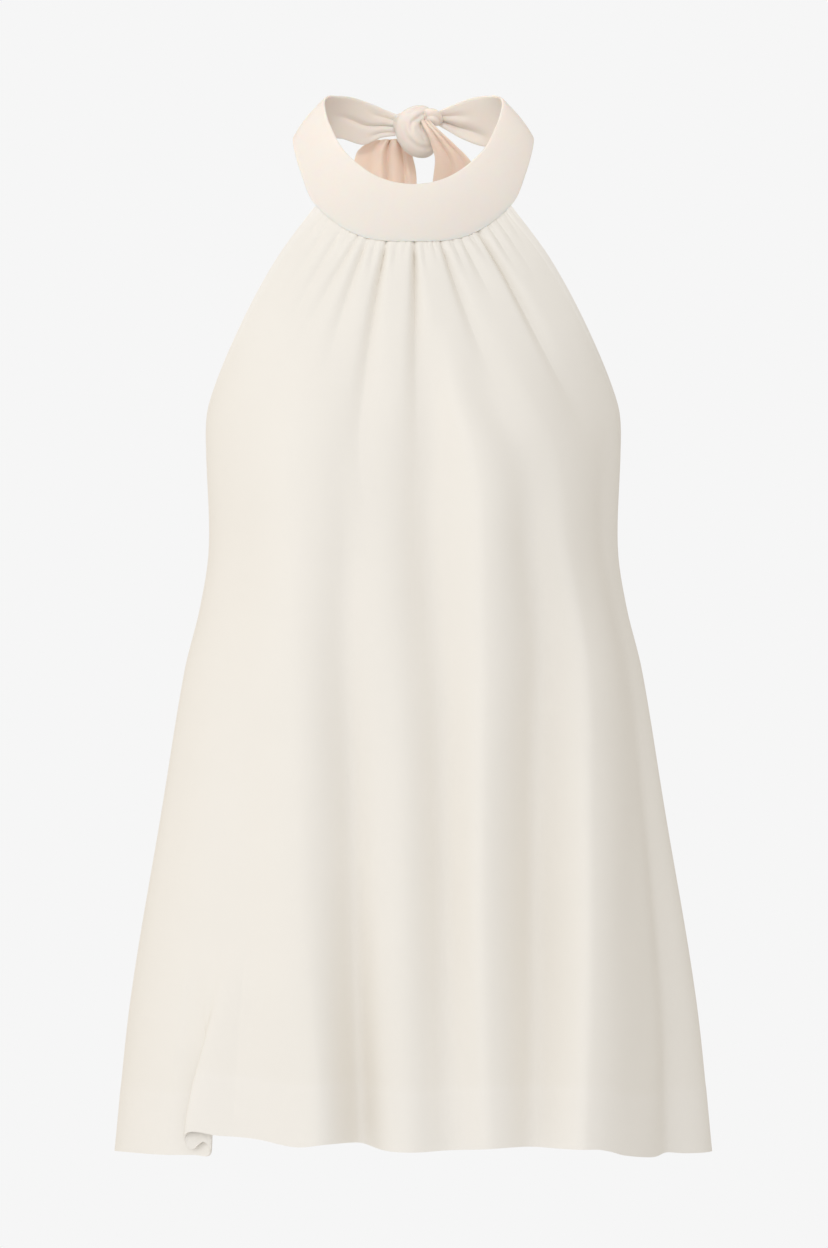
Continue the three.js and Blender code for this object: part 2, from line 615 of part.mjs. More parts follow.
function solidOf(geometry) {
  const bare = geometry.clone();
  bare.deleteAttribute("normal");
  bare.deleteAttribute("uv");
  const merged = mergeVertices(bare);
  return new wasm.Manifold(
    new wasm.Mesh({
      numProp: 3,
      vertProperties: new Float32Array(merged.attributes.position.array),
      triVerts: new Uint32Array(merged.index.array),
    }),
  );
}

function geometryOf(solid) {
  const { vertProperties, triVerts } = solid.getMesh();
  const made = new THREE.BufferGeometry();
  made.setAttribute("position", new THREE.BufferAttribute(vertProperties, 3));
  made.setIndex(new THREE.BufferAttribute(triVerts, 1));
  return made;
}

function knot(extra = 0) {
  const lobes = [WRAP_PATH, TONGUE_PATH, LOOP_PATH, ROLL_PATH].map((path) => solidOf(lobe(path, extra)));
  return lobes.reduce((joined, next) => joined.add(next));
}

// Ends a piece where it goes into the knot, and keeps its one large part
function trimmedAtKnot(geometry) {
  const parts = solidOf(geometry).subtract(knot(SEAM_GAP)).decompose();
  const largest = parts.reduce((best, next) => (next.volume() > best.volume() ? next : best));
  return geometryOf(largest.simplify(FINEST));
}

function cloth(colour) {
  return new THREE.MeshStandardMaterial({ color: colour, roughness: 0.72, metalness: 0 });
}

function piece(name, geometry, material) {
  const made = new THREE.Mesh(geometry, material);
  made.name = name;
  made.geometry.computeVertexNormals();
  return made;
}

const top = new THREE.Group();
top.add(piece("front_panel", frontPanel(), cloth(CREAM)));
top.add(piece("back_panel", backPanel(), cloth(CREAM)));
top.add(piece("neckband", trimmedAtKnot(neckband()), cloth(CREAM_BAND)));
top.add(piece("knot", geometryOf(knot().simplify(FINEST)), cloth(CREAM_BAND)));
top.add(piece("tail_left", trimmedAtKnot(tail(LEFT_TAIL, -TAIL_SLANT)), cloth(CREAM_BAND)));
top.add(piece("tail_right", trimmedAtKnot(tail(RIGHT_TAIL, TAIL_SLANT)), cloth(CREAM_BAND)));

export default top;
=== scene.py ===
import math

import bpy
import numpy as np
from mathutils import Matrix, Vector


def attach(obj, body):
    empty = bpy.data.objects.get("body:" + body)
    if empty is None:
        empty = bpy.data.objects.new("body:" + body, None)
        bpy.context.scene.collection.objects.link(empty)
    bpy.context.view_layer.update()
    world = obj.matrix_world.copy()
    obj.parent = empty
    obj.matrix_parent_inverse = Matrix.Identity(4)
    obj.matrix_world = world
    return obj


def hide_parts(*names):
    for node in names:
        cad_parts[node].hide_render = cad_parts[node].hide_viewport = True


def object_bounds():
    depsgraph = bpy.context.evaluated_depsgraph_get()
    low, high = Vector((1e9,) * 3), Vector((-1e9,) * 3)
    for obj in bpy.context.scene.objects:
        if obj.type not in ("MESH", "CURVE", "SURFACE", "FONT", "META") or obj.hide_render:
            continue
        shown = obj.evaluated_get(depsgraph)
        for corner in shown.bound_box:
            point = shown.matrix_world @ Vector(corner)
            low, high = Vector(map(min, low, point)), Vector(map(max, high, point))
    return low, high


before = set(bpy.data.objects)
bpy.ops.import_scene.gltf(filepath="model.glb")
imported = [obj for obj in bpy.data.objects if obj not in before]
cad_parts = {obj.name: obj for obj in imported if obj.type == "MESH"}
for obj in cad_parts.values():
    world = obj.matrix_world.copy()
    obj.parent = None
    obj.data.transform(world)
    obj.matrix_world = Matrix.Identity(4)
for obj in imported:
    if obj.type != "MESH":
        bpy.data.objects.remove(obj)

bl_info = {
    "name": "Halter Neck Top",
    "version": (1, 0, 0),
    "blender": (4, 5, 0),
    "location": "3D View > Sidebar > Halter Top",
    "description": "A flared halter top in cream crepe with a wide neckband knotted at the nape",
    "category": "Add Mesh",
}

CAD_BOX = [list(corner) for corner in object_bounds()]


# Tables of the garment, in metres


def table(columns, *rows):
    """A table as a dictionary of named columns."""
    return dict(zip(columns.split(), np.array(rows, float).T))


SEAM_TURN = 51.5
SEAM_GAP = 0.0001
SIDE_SEAM_LAP = 0.0001
UNDERARM_DROP = 0.162
HEM_DROP = 0.657

# Half the front: the end of each row (armhole edge, then side seam) and its middle
FRONT_ROWS = table(
    "drop end_x end_y end_z mid_y mid_z turn",
    (0.000, 0.0720, -0.0530, -0.0540, -0.0860, -0.0830, SEAM_TURN),
    (0.040, 0.1010, -0.0640, -0.0950, -0.0990, -0.1210, 60),
    (0.085, 0.1280, -0.0595, -0.1450, -0.1120, -0.1650, 70),
    (0.135, 0.1506, -0.0250, -0.1960, -0.1240, -0.2150, 83),
    (0.162, 0.1546, -0.0080, -0.2210, -0.1280, -0.2420, 90),
    (0.225, 0.1524, -0.0080, -0.3030, -0.1310, -0.3070, 90),
    (0.270, 0.1590, -0.0080, -0.3500, -0.1330, -0.3510, 90),
    (0.315, 0.1705, -0.0080, -0.3970, -0.1350, -0.3960, 90),
    (0.415, 0.1872, -0.0080, -0.4990, -0.1400, -0.4960, 90),
    (0.555, 0.2110, -0.0080, -0.6430, -0.1480, -0.6360, 90),
    (0.657, 0.2228, -0.0080, -0.7570, -0.1530, -0.7400, 90),
)
BACK_ROWS = table(
    "drop mid_y mid_z",
    (0.162, 0.083, -0.243),
    (0.225, 0.084, -0.307),
    (0.315, 0.094, -0.396),
    (0.415, 0.106, -0.495),
    (0.555, 0.124, -0.636),
    (0.657, 0.138, -0.748),
)

# The front hem's height across the panel, from one side seam to the other
FRONT_HEM = table(
    "share z",
    (-1, -0.7570),
    (-0.8, -0.7530),
    (-0.565, -0.7500),
    (-0.52, -0.7480),
    (-0.465, -0.7340),
    (-0.41, -0.7335),
    (-0.335, -0.7345),
    (-0.24, -0.7385),
    (-0.17, -0.7360),
    (-0.12, -0.7375),
    (-0.05, -0.7415),
    (0.08, -0.7408),
    (0.18, -0.7385),
    (0.28, -0.7395),
    (0.36, -0.7395),
    (0.4, -0.7420),
    (0.45, -0.7465),
    (0.58, -0.7520),
    (0.7, -0.7520),
    (0.8, -0.7545),
    (1, -0.7570),
)

# Gathers under the neckband: where each trough starts and ends, how far down it runs, and its depth
GATHERS = table(
    "seam foot reach depth",
    (-0.90, -0.86, 0.045, 0.0009),
    (-0.81, -0.76, 0.060, 0.0013),
    (-0.674, -0.64, 0.085, 0.0018),
    (-0.59, -0.60, 0.045, 0.0011),
    (-0.514, -0.55, 0.095, 0.0022),
    (-0.421, -0.35, 0.120, 0.0027),
    (-0.335, -0.28, 0.040, 0.0014),
    (-0.245, -0.13, 0.240, 0.0040),
    (-0.147, -0.13, 0.032, 0.0013),
    (-0.07, -0.07, 0.024, 0.0009),
    (0.005, 0.015, 0.210, 0.0046),
    (0.085, 0.10, 0.036, 0.0015),
    (0.165, 0.19, 0.026, 0.0010),
    (0.242, 0.33, 0.130, 0.0034),
    (0.345, 0.37, 0.040, 0.0014),
    (0.43, 0.46, 0.060, 0.0020),
    (0.52, 0.56, 0.030, 0.0010),
    (0.61, 0.63, 0.150, 0.0044),
    (0.715, 0.70, 0.050, 0.0015),
    (0.81, 0.80, 0.055, 0.0012),
    (0.90, 0.87, 0.040, 0.0009),
)
GATHER_WIDTH = 0.026
GATHER_SPREAD = 0.035
GATHER_AT_SEAM = 0.36
GATHER_RISE = 0.013
PUFF = 0.0022
# Each trough is steep on its left and gentle on its right
GATHER_LEFT, GATHER_RIGHT = 0.8, 1.3
# The front's raw edge is sewn in under the neckband, this far up and this far behind its face
SEAM_ALLOWANCE = 0.0022
UNDER_BAND = 0.0010

# The front's eight long folds, ridges (a, c, e, g) and valleys (b, d, f, h) from left to right:
# the share where each lies and how far it is pushed out, row by row down the front
FOLD_COLUMNS = "drop a b c d e f g h"
FRONT_FOLD_SHARES = table(
    FOLD_COLUMNS,
    (0.060, -0.46, -0.28, -0.06, 0.09, 0.18, 0.27, 0.44, 0.60),
    (0.115, -0.45, -0.227, -0.04, 0.080, 0.160, 0.260, 0.440, 0.660),
    (0.190, -0.41, -0.205, -0.057, 0.045, 0.200, 0.350, 0.480, 0.760),
    (0.262, -0.370, -0.207, -0.054, 0.060, 0.205, 0.390, 0.510, 0.850),
    (0.338, -0.315, -0.182, -0.031, 0.075, 0.185, 0.355, 0.470, 0.860),
    (0.410, -0.282, -0.160, -0.020, 0.078, 0.170, 0.325, 0.430, 0.840),
    (0.487, -0.257, -0.145, -0.020, 0.078, 0.155, 0.300, 0.395, 0.800),
    (0.657, -0.175, -0.118, 0.005, 0.070, 0.160, 0.260, 0.340, 0.720),
)
FRONT_FOLD_LIFTS = table(
    FOLD_COLUMNS,
    (0.060, 0, 0, 0, 0, 0, 0, 0, 0),
    (0.115, 0.001, -0.001, 0.001, -0.003, 0.005, -0.002, 0.003, -0.003),
    (0.190, 0.004, -0.003, 0.001, -0.007, 0.011, -0.003, 0.006, -0.005),
    (0.262, 0.006, -0.005, 0.002, -0.008, 0.012, -0.005, 0.012, -0.007),
    (0.338, 0.008, -0.008, 0.003, -0.008, 0.013, -0.006, 0.021, -0.011),
    (0.487, 0.010, -0.013, 0.004, -0.009, 0.014, -0.007, 0.030, -0.015),
    (0.657, 0.012, -0.027, 0.004, -0.004, 0.011, -0.006, 0.030, -0.018),
)
# How wide each fold is to its left and its right, as a share, near the hem
FRONT_FOLD_WIDTHS = table(
    "left right",
    (0.12, 0.070),
    (0.040, 0.05),
    (0.05, 0.05),
    (0.05, 0.045),
    (0.047, 0.085),
    (0.055, 0.045),
    (0.056, 0.150),
    (0.120, 0.20),
)
FOLD_SPREAD = 0.45
BACK_WAVES = table(
    "top hem start lift wide",
    (-0.62, -0.66, 0.200, 0.010, 0.09),
    (-0.46, -0.48, 0.230, -0.012, 0.07),
    (-0.28, -0.31, 0.180, 0.011, 0.08),
    (-0.12, -0.13, 0.240, -0.010, 0.07),
    (0.04, 0.03, 0.200, 0.010, 0.075),
    (0.19, 0.20, 0.190, -0.013, 0.075),
    (0.35, 0.37, 0.230, 0.010, 0.08),
    (0.50, 0.54, 0.210, -0.011, 0.08),
    (0.66, 0.71, 0.240, 0.009, 0.09),
)
WAVE_AT_START = 0.12
WAVE_BLEND = 0.060

BUST = {"x": 0.078, "z": -0.230, "lift": 0.012, "wide": 0.046, "above": 0.054, "below": 0.190}
TUCK = {
    "share": -0.495, "half": 0.095, "slip": 0.0225, "lift": 0.0036, "roundness": 0.3, "start": 0.520
}

# The neckband from the centre front (turn 0) to the knot, as its two edges; x is for one side
BAND_ROWS = table(
    "turn top_x top_y top_z low_x low_y low_z right_rise",
    (-25, -0.0270, -0.0565, -0.0325, -0.0390, -0.0780, -0.0785, 0),
    (0, 0.0000, -0.0620, -0.0390, 0.0000, -0.0860, -0.0830, 0),
    (25, 0.0270, -0.0565, -0.0325, 0.0390, -0.0780, -0.0785, 0),
    (SEAM_TURN, 0.0505, -0.0375, -0.0125, 0.0720, -0.0530, -0.0540, 0),
    (72, 0.0620, -0.0140, 0.0095, 0.0845, -0.0270, -0.0250, 0),
    (90, 0.0665, 0.0070, 0.0270, 0.0900, 0.0000, -0.0010, 0),
    (108, 0.0645, 0.0220, 0.0350, 0.0850, 0.0240, 0.0040, -0.0010),
    (124, 0.0570, 0.0350, 0.0370, 0.0715, 0.0430, 0.0055, -0.0030),
    (138, 0.0455, 0.0460, 0.0370, 0.0550, 0.0540, 0.0065, -0.0060),
    (150, 0.0315, 0.0540, 0.0330, 0.0380, 0.0590, 0.0025, 0.0040),
    (160, 0.0200, 0.0580, 0.0285, 0.0240, 0.0605, 0.0080, 0.0065),
    (167, 0.0125, 0.0590, 0.0255, 0.0135, 0.0600, 0.0095, 0.0110),
)
BAND_TURN = 167
BAND_CROWN = 0.0022

# Creases along the two straps: from one place to another, as turn and share of the width
STRAP_CREASES = table(
    "side turn_from turn_to across_from across_to depth wide",
    (-1, 126, 166, 0.44, 0.60, 0.0022, 0.07),
    (-1, 146, 167, 0.20, 0.30, 0.0010, 0.08),
    (-1, 150, 167, 0.80, 0.85, 0.0014, 0.08),
    (1, 132, 167, 0.80, 0.62, 0.0042, 0.13),
    (1, 140, 167, 0.34, 0.30, 0.0014, 0.09),
)

# The knot's lobes: the middle of each bunch of cloth, its radius and how flat it lies (1 is round)
KNOT_COLUMNS = "x y z r flat"
WRAP_LOBE = table(
    KNOT_COLUMNS,
    (0.0110, 0.0620, 0.0262, 0.0036, 1.00),
    (0.0078, 0.0572, 0.0272, 0.0050, 0.95),
    (0.0022, 0.0530, 0.0240, 0.0080, 0.90),
    (-0.0032, 0.0512, 0.0180, 0.0098, 0.85),
    (-0.0028, 0.0502, 0.0100, 0.0104, 0.85),
    (0.0020, 0.0504, 0.0035, 0.0106, 0.85),
    (0.0078, 0.0528, 0.0008, 0.0092, 0.90),
    (0.0118, 0.0580, 0.0022, 0.0066, 1.00),
)
STRAP_LOBE = table(
    KNOT_COLUMNS,
    (-0.0150, 0.0612, 0.0182, 0.0056, 0.40),
    (-0.0105, 0.0568, 0.0182, 0.0080, 0.60),
    (-0.0060, 0.0528, 0.0180, 0.0086, 0.80),
    (0.0000, 0.0515, 0.0175, 0.0080, 0.85),
)
TONGUE_LOBE = table(
    KNOT_COLUMNS,
    (0.0030, 0.0540, 0.0155, 0.0030, 1.00),
    (0.0075, 0.0518, 0.0125, 0.0054, 1.00),
    (0.0090, 0.0506, 0.0075, 0.0064, 1.00),
    (0.0086, 0.0512, 0.0020, 0.0070, 1.00),
)
UPPER_LOOP = table(
    KNOT_COLUMNS,
    (0.0085, 0.0560, 0.0225, 0.0028, 0.9),
    (0.0112, 0.0518, 0.0257, 0.0034, 0.9),
    (0.0157, 0.0515, 0.0256, 0.0034, 0.9),
    (0.0190, 0.0545, 0.0225, 0.0032, 0.9),
    (0.0192, 0.0590, 0.0190, 0.0028, 0.9),
)
LOWER_LOOP = table(
    KNOT_COLUMNS,
    (0.0100, 0.0545, 0.0195, 0.0022, 0.9),
    (0.0130, 0.0508, 0.0212, 0.0026, 0.9),
    (0.0165, 0.0518, 0.0200, 0.0026, 0.9),
    (0.0186, 0.0560, 0.0172, 0.0024, 0.9),
)
ROLL_LOBE = table(
    KNOT_COLUMNS,
    (-0.0115, 0.0570, 0.0065, 0.0024, 1.0),
    (-0.0085, 0.0530, 0.0058, 0.0028, 1.0),
    (-0.0060, 0.0520, 0.0015, 0.0026, 1.0),
    (-0.0055, 0.0555, -0.0025, 0.0022, 1.0),
)
# Creases along a lobe on its seen side: from one part of its length to another, where it lies
# across the lobe in degrees (0 is its middle), its depth and its width in degrees
CREASE_COLUMNS = "begin end from_turn to_turn depth wide"
STRAP_LOBE_CREASES = table(
    CREASE_COLUMNS,
    (0.00, 1.00, -8, -10, 0.0016, 11),
    (0.10, 1.00, 40, 34, 0.0010, 12),
)
WRAP_LOBE_CREASES = table(
    CREASE_COLUMNS,
    (0.12, 0.62, -30, -6, 0.0016, 11),
    (0.45, 0.98, 22, 6, 0.0013, 12),
    (0.50, 0.95, -38, -30, 0.0012, 13),
    (0.16, 0.40, 24, 34, 0.0012, 12),
)
NO_CREASES = table(CREASE_COLUMNS, (0, 1, 0, 0, 0, 10))

# The ties' tails, from the knot to the cut end
TAIL_COLUMNS = "z x y width swing"
LEFT_TAIL = table(
    TAIL_COLUMNS,
    (0.007, -0.0190, 0.0640, 0.024, 0.009),
    (0.001, -0.0215, 0.0640, 0.038, 0.009),
    (-0.006, -0.0225, 0.0650, 0.044, 0.005),
    (-0.024, -0.0225, 0.0660, 0.050, 0.002),
    (-0.060, -0.0250, 0.0680, 0.050, 0),
    (-0.120, -0.0280, 0.0700, 0.050, 0),
    (-0.184, -0.0290, 0.0710, 0.050, 0),
)
RIGHT_TAIL = table(
    TAIL_COLUMNS,
    (0.020, 0.0090, 0.0490, 0.0065, 0),
    (0.016, 0.0110, 0.0420, 0.0085, 0),
    (0.009, 0.0165, 0.0385, 0.0120, 0),
    (0.000, 0.0230, 0.0400, 0.0185, 0),
    (-0.010, 0.0293, 0.0425, 0.0260, 0),
    (-0.024, 0.0325, 0.0470, 0.0350, 0),
    (-0.044, 0.0350, 0.0540, 0.0450, 0),
    (-0.080, 0.0360, 0.0620, 0.0500, 0),
    (-0.130, 0.0370, 0.0670, 0.0500, 0),
    (-0.178, 0.0375, 0.0690, 0.0500, 0),
)
# Pleats down a tail: place across it, depth at the knot, depth at the cut end and width
PLEAT_COLUMNS = "across top end wide"
LEFT_PLEATS = table(
    PLEAT_COLUMNS,
    (0.12, -0.0022, -0.0004, 0.12),
    (0.30, -0.0030, -0.0010, 0.10),
    (0.46, 0.0030, 0.0012, 0.06),
    (0.56, -0.0030, -0.0010, 0.05),
    (0.70, 0.0034, 0.0012, 0.08),
    (0.82, -0.0030, -0.0008, 0.04),
    (0.90, 0.0024, 0.0008, 0.04),
)
RIGHT_PLEATS = table(
    PLEAT_COLUMNS,
    (0.18, 0.0012, 0.0010, 0.12),
    (0.42, -0.0012, -0.0012, 0.08),
    (0.60, 0.0012, 0.0010, 0.10),
    (0.78, -0.0014, -0.0010, 0.08),
)


# Curves and surfaces


def smoothstep(value, low, high):
    t = np.clip((value - low) / (high - low), 0, 1)
    return t * t * (3 - 2 * t)


def bell(offset):
    return np.exp(-(offset**2))


def unit(vectors):
    return vectors / np.maximum(np.linalg.norm(vectors, axis=-1, keepdims=True), 1e-12)


def read(rows, key, column, at):
    """A smooth curve through one column of a table, at any value of the key column."""
    keys, values = rows[key], rows[column]
    steps = np.arange(len(keys))
    before, after = np.maximum(steps - 1, 0), np.minimum(steps + 1, len(keys) - 1)
    slopes = (values[after] - values[before]) / (keys[after] - keys[before])
    at = np.clip(at, keys[0], keys[-1])
    i = np.clip(np.searchsorted(keys, at, side="right") - 1, 0, len(keys) - 2)
    span = keys[i + 1] - keys[i]
    t = (at - keys[i]) / span
    bend = span * (slopes[i] * (1 - t) - slopes[i + 1] * t)
    return values[i] + (values[i + 1] - values[i]) * t * t * (3 - 2 * t) + bend * t * (1 - t)


def stepped(rows):
    """The same table with its row numbers as a key column."""
    return {**rows, "step": np.arange(len(next(iter(rows.values()))), dtype=float)}


def band_point(turn, across):
    """A point on the neckband: degrees from the centre front, and 0 (top edge) to 1 (seam)."""
    side = np.where(turn < 0, -1.0, 1.0)
    away = np.abs(turn)
    edges = []
    for edge in ("top", "low"):
        x, y, z = (read(BAND_ROWS, "turn", f"{edge}_{axis}", away) for axis in "xyz")
        if edge == "low":
            z = z + np.where(side > 0, read(BAND_ROWS, "turn", "right_rise", away), 0)
        edges.append(np.stack([side * x, y, z], -1))
    point = edges[0] + (edges[1] - edges[0]) * across[..., None]
    out = unit(np.stack([point[..., 0], point[..., 1], np.full(away.shape, 0.012)], -1))
    lift = BAND_CROWN * np.sin(np.pi * across) * (1 - 0.6 * smoothstep(away, 108, 160))
    for side_, t0, t1, a0, a1, depth, wide in zip(*STRAP_CREASES.values()):
        along = np.clip((away - t0) / (t1 - t0), 0, 1)
        middle = a0 + (a1 - a0) * along
        inside = smoothstep(away, t0, t0 + 0.45 * (t1 - t0)) * (side == side_)
        # the straps are seen from within the ring, so a trough there is a push outwards
        lift = lift + depth * inside * bell((across - middle) / wide)
    return point + out * lift[..., None]


def band_edge(share):
    """The neckband's lower edge at a share of the front, the way down the band and the way out."""
    turn = share * SEAM_TURN
    ones = np.ones_like(turn)
    low = band_point(turn, ones)
    down = unit(low - band_point(turn, ones * 5 / 6))
    along = band_point(turn + 1, ones) - band_point(turn - 1, ones)
    return low, down, unit(np.cross(down, along))


def wave_lift(waves, share, drop):
    """The back's long soft waves."""
    lift = np.zeros_like(share)
    for top, hem, start, size, wide in zip(*waves.values()):
        grown = np.clip((drop - start) / (HEM_DROP - start), 0, 1)
        begun = smoothstep(drop, start - WAVE_BLEND, start + WAVE_BLEND)
        middle = top + (hem - top) * grown
        height = WAVE_AT_START * begun + (1 - WAVE_AT_START) * grown
        lift += size * height * bell((share - middle) / wide)
    return lift * (1 - share**8)


def fold_lift(share, drop):
    """The front's long folds."""
    lift = np.zeros_like(share)
    spread = 1 + FOLD_SPREAD * (1 - smoothstep(drop, 0.20, 0.50))
    for name, left, right in zip("abcdefgh", *FRONT_FOLD_WIDTHS.values()):
        offset = share - read(FRONT_FOLD_SHARES, "drop", name, drop)
        wide = np.where(offset < 0, left, right) * spread
        lift += read(FRONT_FOLD_LIFTS, "drop", name, drop) * bell(offset / wide)
    return lift * (1 - share**8) ** 2


def gather_lift(share, drop):
    """The troughs of the gathers, sharper at the seam, and the fullness between them."""
    risen = GATHER_AT_SEAM + (1 - GATHER_AT_SEAM) * smoothstep(drop, 0, GATHER_RISE)
    lift = PUFF * smoothstep(drop, 0, GATHER_RISE) * np.exp(-drop / 0.070)
    for seam, foot, reach, depth in zip(*GATHERS.values()):
        gone = np.clip(drop / reach, 0, 1)
        middle = seam + (foot - seam) * gone
        wide = GATHER_WIDTH + GATHER_SPREAD * gone
        wide = wide * np.where(share < middle, GATHER_LEFT, GATHER_RIGHT)
        left = 1 - smoothstep(gone, 0.25, 1)
        offset = (share - middle) / wide
        sharp = np.exp(-1.8 * np.abs(offset)) * (1 - 0.5 * gone)
        lift -= depth * risen * left * (0.85 * bell(offset) + 0.45 * sharp)
    return lift * (1 - share**8)


def pucker_lift(share, drop, depth, count=52, seed=11):
    """Short uneven puckers at the stitch line under the neckband."""
    draw = np.random.default_rng(seed)
    places = np.linspace(-0.97, 0.97, count) + draw.uniform(-0.009, 0.009, count)
    reaches = draw.uniform(0.004, 0.013, count)
    sizes = draw.uniform(0.3, 1.0, count)
    leans = draw.uniform(-0.012, 0.012, count)
    lift = np.zeros_like(share)
    for place, reach, size, lean in zip(places, reaches, sizes, leans):
        gone = np.clip(drop / reach, 0, 1)
        lift -= size * (1 - gone) ** 1.5 * bell((share - place - lean * gone) / 0.0095)
    return depth * lift


def unevenness(points, size, seed):
    """Faint broad ripples, so that no stretch of cloth is perfectly smooth."""
    draw = np.random.default_rng(seed)
    total = np.zeros(points.shape[:-1])
    for _ in range(9):
        heading = unit(draw.normal(size=3) * (1.0, 1.0, 0.45))
        length = draw.uniform(0.035, 0.13)
        total += np.sin(2 * np.pi * (points @ heading) / length + draw.uniform(0, 6.28))
    return total * size / 3


def arc_point(share, turn, end, middle, lean):
    """A row before any fold: an arc from its middle (share 0) to its ends (share -1 and 1)."""
    angle = share * turn
    deep = (end[1] - middle[0]) / (1 - np.cos(turn))
    x = end[0] * np.sin(angle) / np.sin(turn)
    y = middle[0] + deep * (1 - np.cos(angle))
    z = middle[1] + (end[2] - middle[1]) * np.abs(share) ** lean
    return np.stack([x, y, z], -1)


def row_ends(drop, seam_side):
    x, y, z = (read(FRONT_ROWS, "drop", f"end_{axis}", drop) for axis in "xyz")
    return x, y - seam_side * SIDE_SEAM_LAP, z


def front_base(share, drop):
    middle = [read(FRONT_ROWS, "drop", column, drop) for column in ("mid_y", "mid_z")]
    turn = np.radians(read(FRONT_ROWS, "drop", "turn", drop))
    point = arc_point(share, turn, row_ends(drop, -1), middle, 2.4)
    level = -0.740 - 0.017 * np.abs(share) ** 2.4
    hang = smoothstep(drop, 0.330, HEM_DROP) ** 2
    point[..., 2] += hang * (read(FRONT_HEM, "share", "z", share) - level)
    return point


def back_base(share, drop):
    middle = [read(BACK_ROWS, "drop", column, drop) for column in ("mid_y", "mid_z")]
    return arc_point(share, np.pi / 2, row_ends(drop, 1), middle, 3)


def outward(base, share, drop, step=0.004):
    along = unit(base(share + step, drop) - base(share - step, drop))
    out = unit(np.stack([along[..., 1], -along[..., 0], np.zeros(share.shape)], -1))
    return along, out


def front_point(share, drop, pucker_depth):
    point = front_base(share, drop)
    along, out = outward(front_base, share, drop)
    fade = (1 - np.clip(drop / 0.040, 0, 1))[..., None] ** 2
    low, down, band_out = band_edge(share)
    above = np.minimum(drop, 0)[..., None]
    point = point + fade * (low + down * (SEAM_GAP + above) - front_base(share, np.zeros_like(drop)))
    out = unit(out + (band_out - out) * fade)
    reach = np.where(point[..., 2] > BUST["z"], BUST["above"], BUST["below"])
    bust = bell((np.abs(point[..., 0]) - BUST["x"]) / BUST["wide"])
    point[..., 1] -= BUST["lift"] * bust * bell((point[..., 2] - BUST["z"]) / reach)
    lift = gather_lift(share, drop) + fold_lift(share, drop)
    lift += pucker_lift(share, drop, pucker_depth)
    lift += unevenness(point, 0.0004, 3) * smoothstep(drop, 0, 0.05) * (1 - share**8)
    lift -= UNDER_BAND * (1 - smoothstep(drop, -SEAM_ALLOWANCE, 0.0008))
    point += out * lift[..., None]
    tucked = smoothstep(drop, TUCK["start"], HEM_DROP)
    across = np.clip((share - TUCK["share"]) / TUCK["half"], -1, 1)
    apart = np.sin(np.pi * across) - TUCK["roundness"] * np.sin(2 * np.pi * across)
    point += out * (TUCK["lift"] * np.sqrt(tucked) * apart)[..., None]
    return point - along * (TUCK["slip"] * tucked * np.sin(np.pi * across))[..., None]


def back_point(share, drop):
    point = back_base(share, drop)
    _, out = outward(back_base, share, drop)
    lift = wave_lift(BACK_WAVES, share, drop)
    lift += unevenness(point, 0.0004, 5) * (1 - share**8)
    return point - out * lift[..., None]


def tail_point(rows, pleats, across, down, slant):
    rows = stepped(rows)
    at = down * rows["step"][-1]
    z, x, y, width, swing = (read(rows, "step", column, at) for column in TAIL_COLUMNS.split())
    fold = np.zeros_like(across)
    for middle, top, end, wide in zip(*pleats.values()):
        fold += (top + (end - top) * down**0.6) * bell((across - middle) / wide)
    offset = across - 0.5
    rounded = np.sin(np.pi * across) ** 0.5
    y = y - offset * swing - fold * rounded
    return np.stack([x + offset * width, y, z + slant * offset * down**6], -1)


# Making meshes


def grid_faces(rows, cols):
    corner = np.arange(rows - 1)[:, None] * cols + np.arange(cols - 1)[None, :]
    return np.stack([corner, corner + cols, corner + cols + 1, corner + 1], -1).reshape(-1, 4)


def rim_loop(rows, cols):
    """The border of a grid, down the first column and on round in the faces' own direction."""
    last = (rows - 1) * cols
    return np.concatenate([
        np.arange(rows) * cols,
        last + np.arange(1, cols),
        (np.arange(rows - 2, -1, -1) + 1) * cols - 1,
        np.arange(cols - 2, 0, -1),
    ])


def shell(middle, wall):
    """Points and faces of a sheet of cloth with a wall thickness, closed at its rim."""
    rows, cols = middle.shape[:2]
    down, along = np.gradient(middle, axis=0), np.gradient(middle, axis=1)
    half = unit(np.cross(down, along)) * np.broadcast_to(wall, (rows, cols))[..., None] / 2
    points = np.concatenate([(middle + half).reshape(-1, 3), (middle - half).reshape(-1, 3)])
    count = rows * cols
    outer = grid_faces(rows, cols)
    loop = rim_loop(rows, cols)
    following = np.roll(loop, -1)
    rim = np.stack([following, loop, loop + count, following + count], -1)
    return points, np.concatenate([outer, outer[:, ::-1] + count, rim])


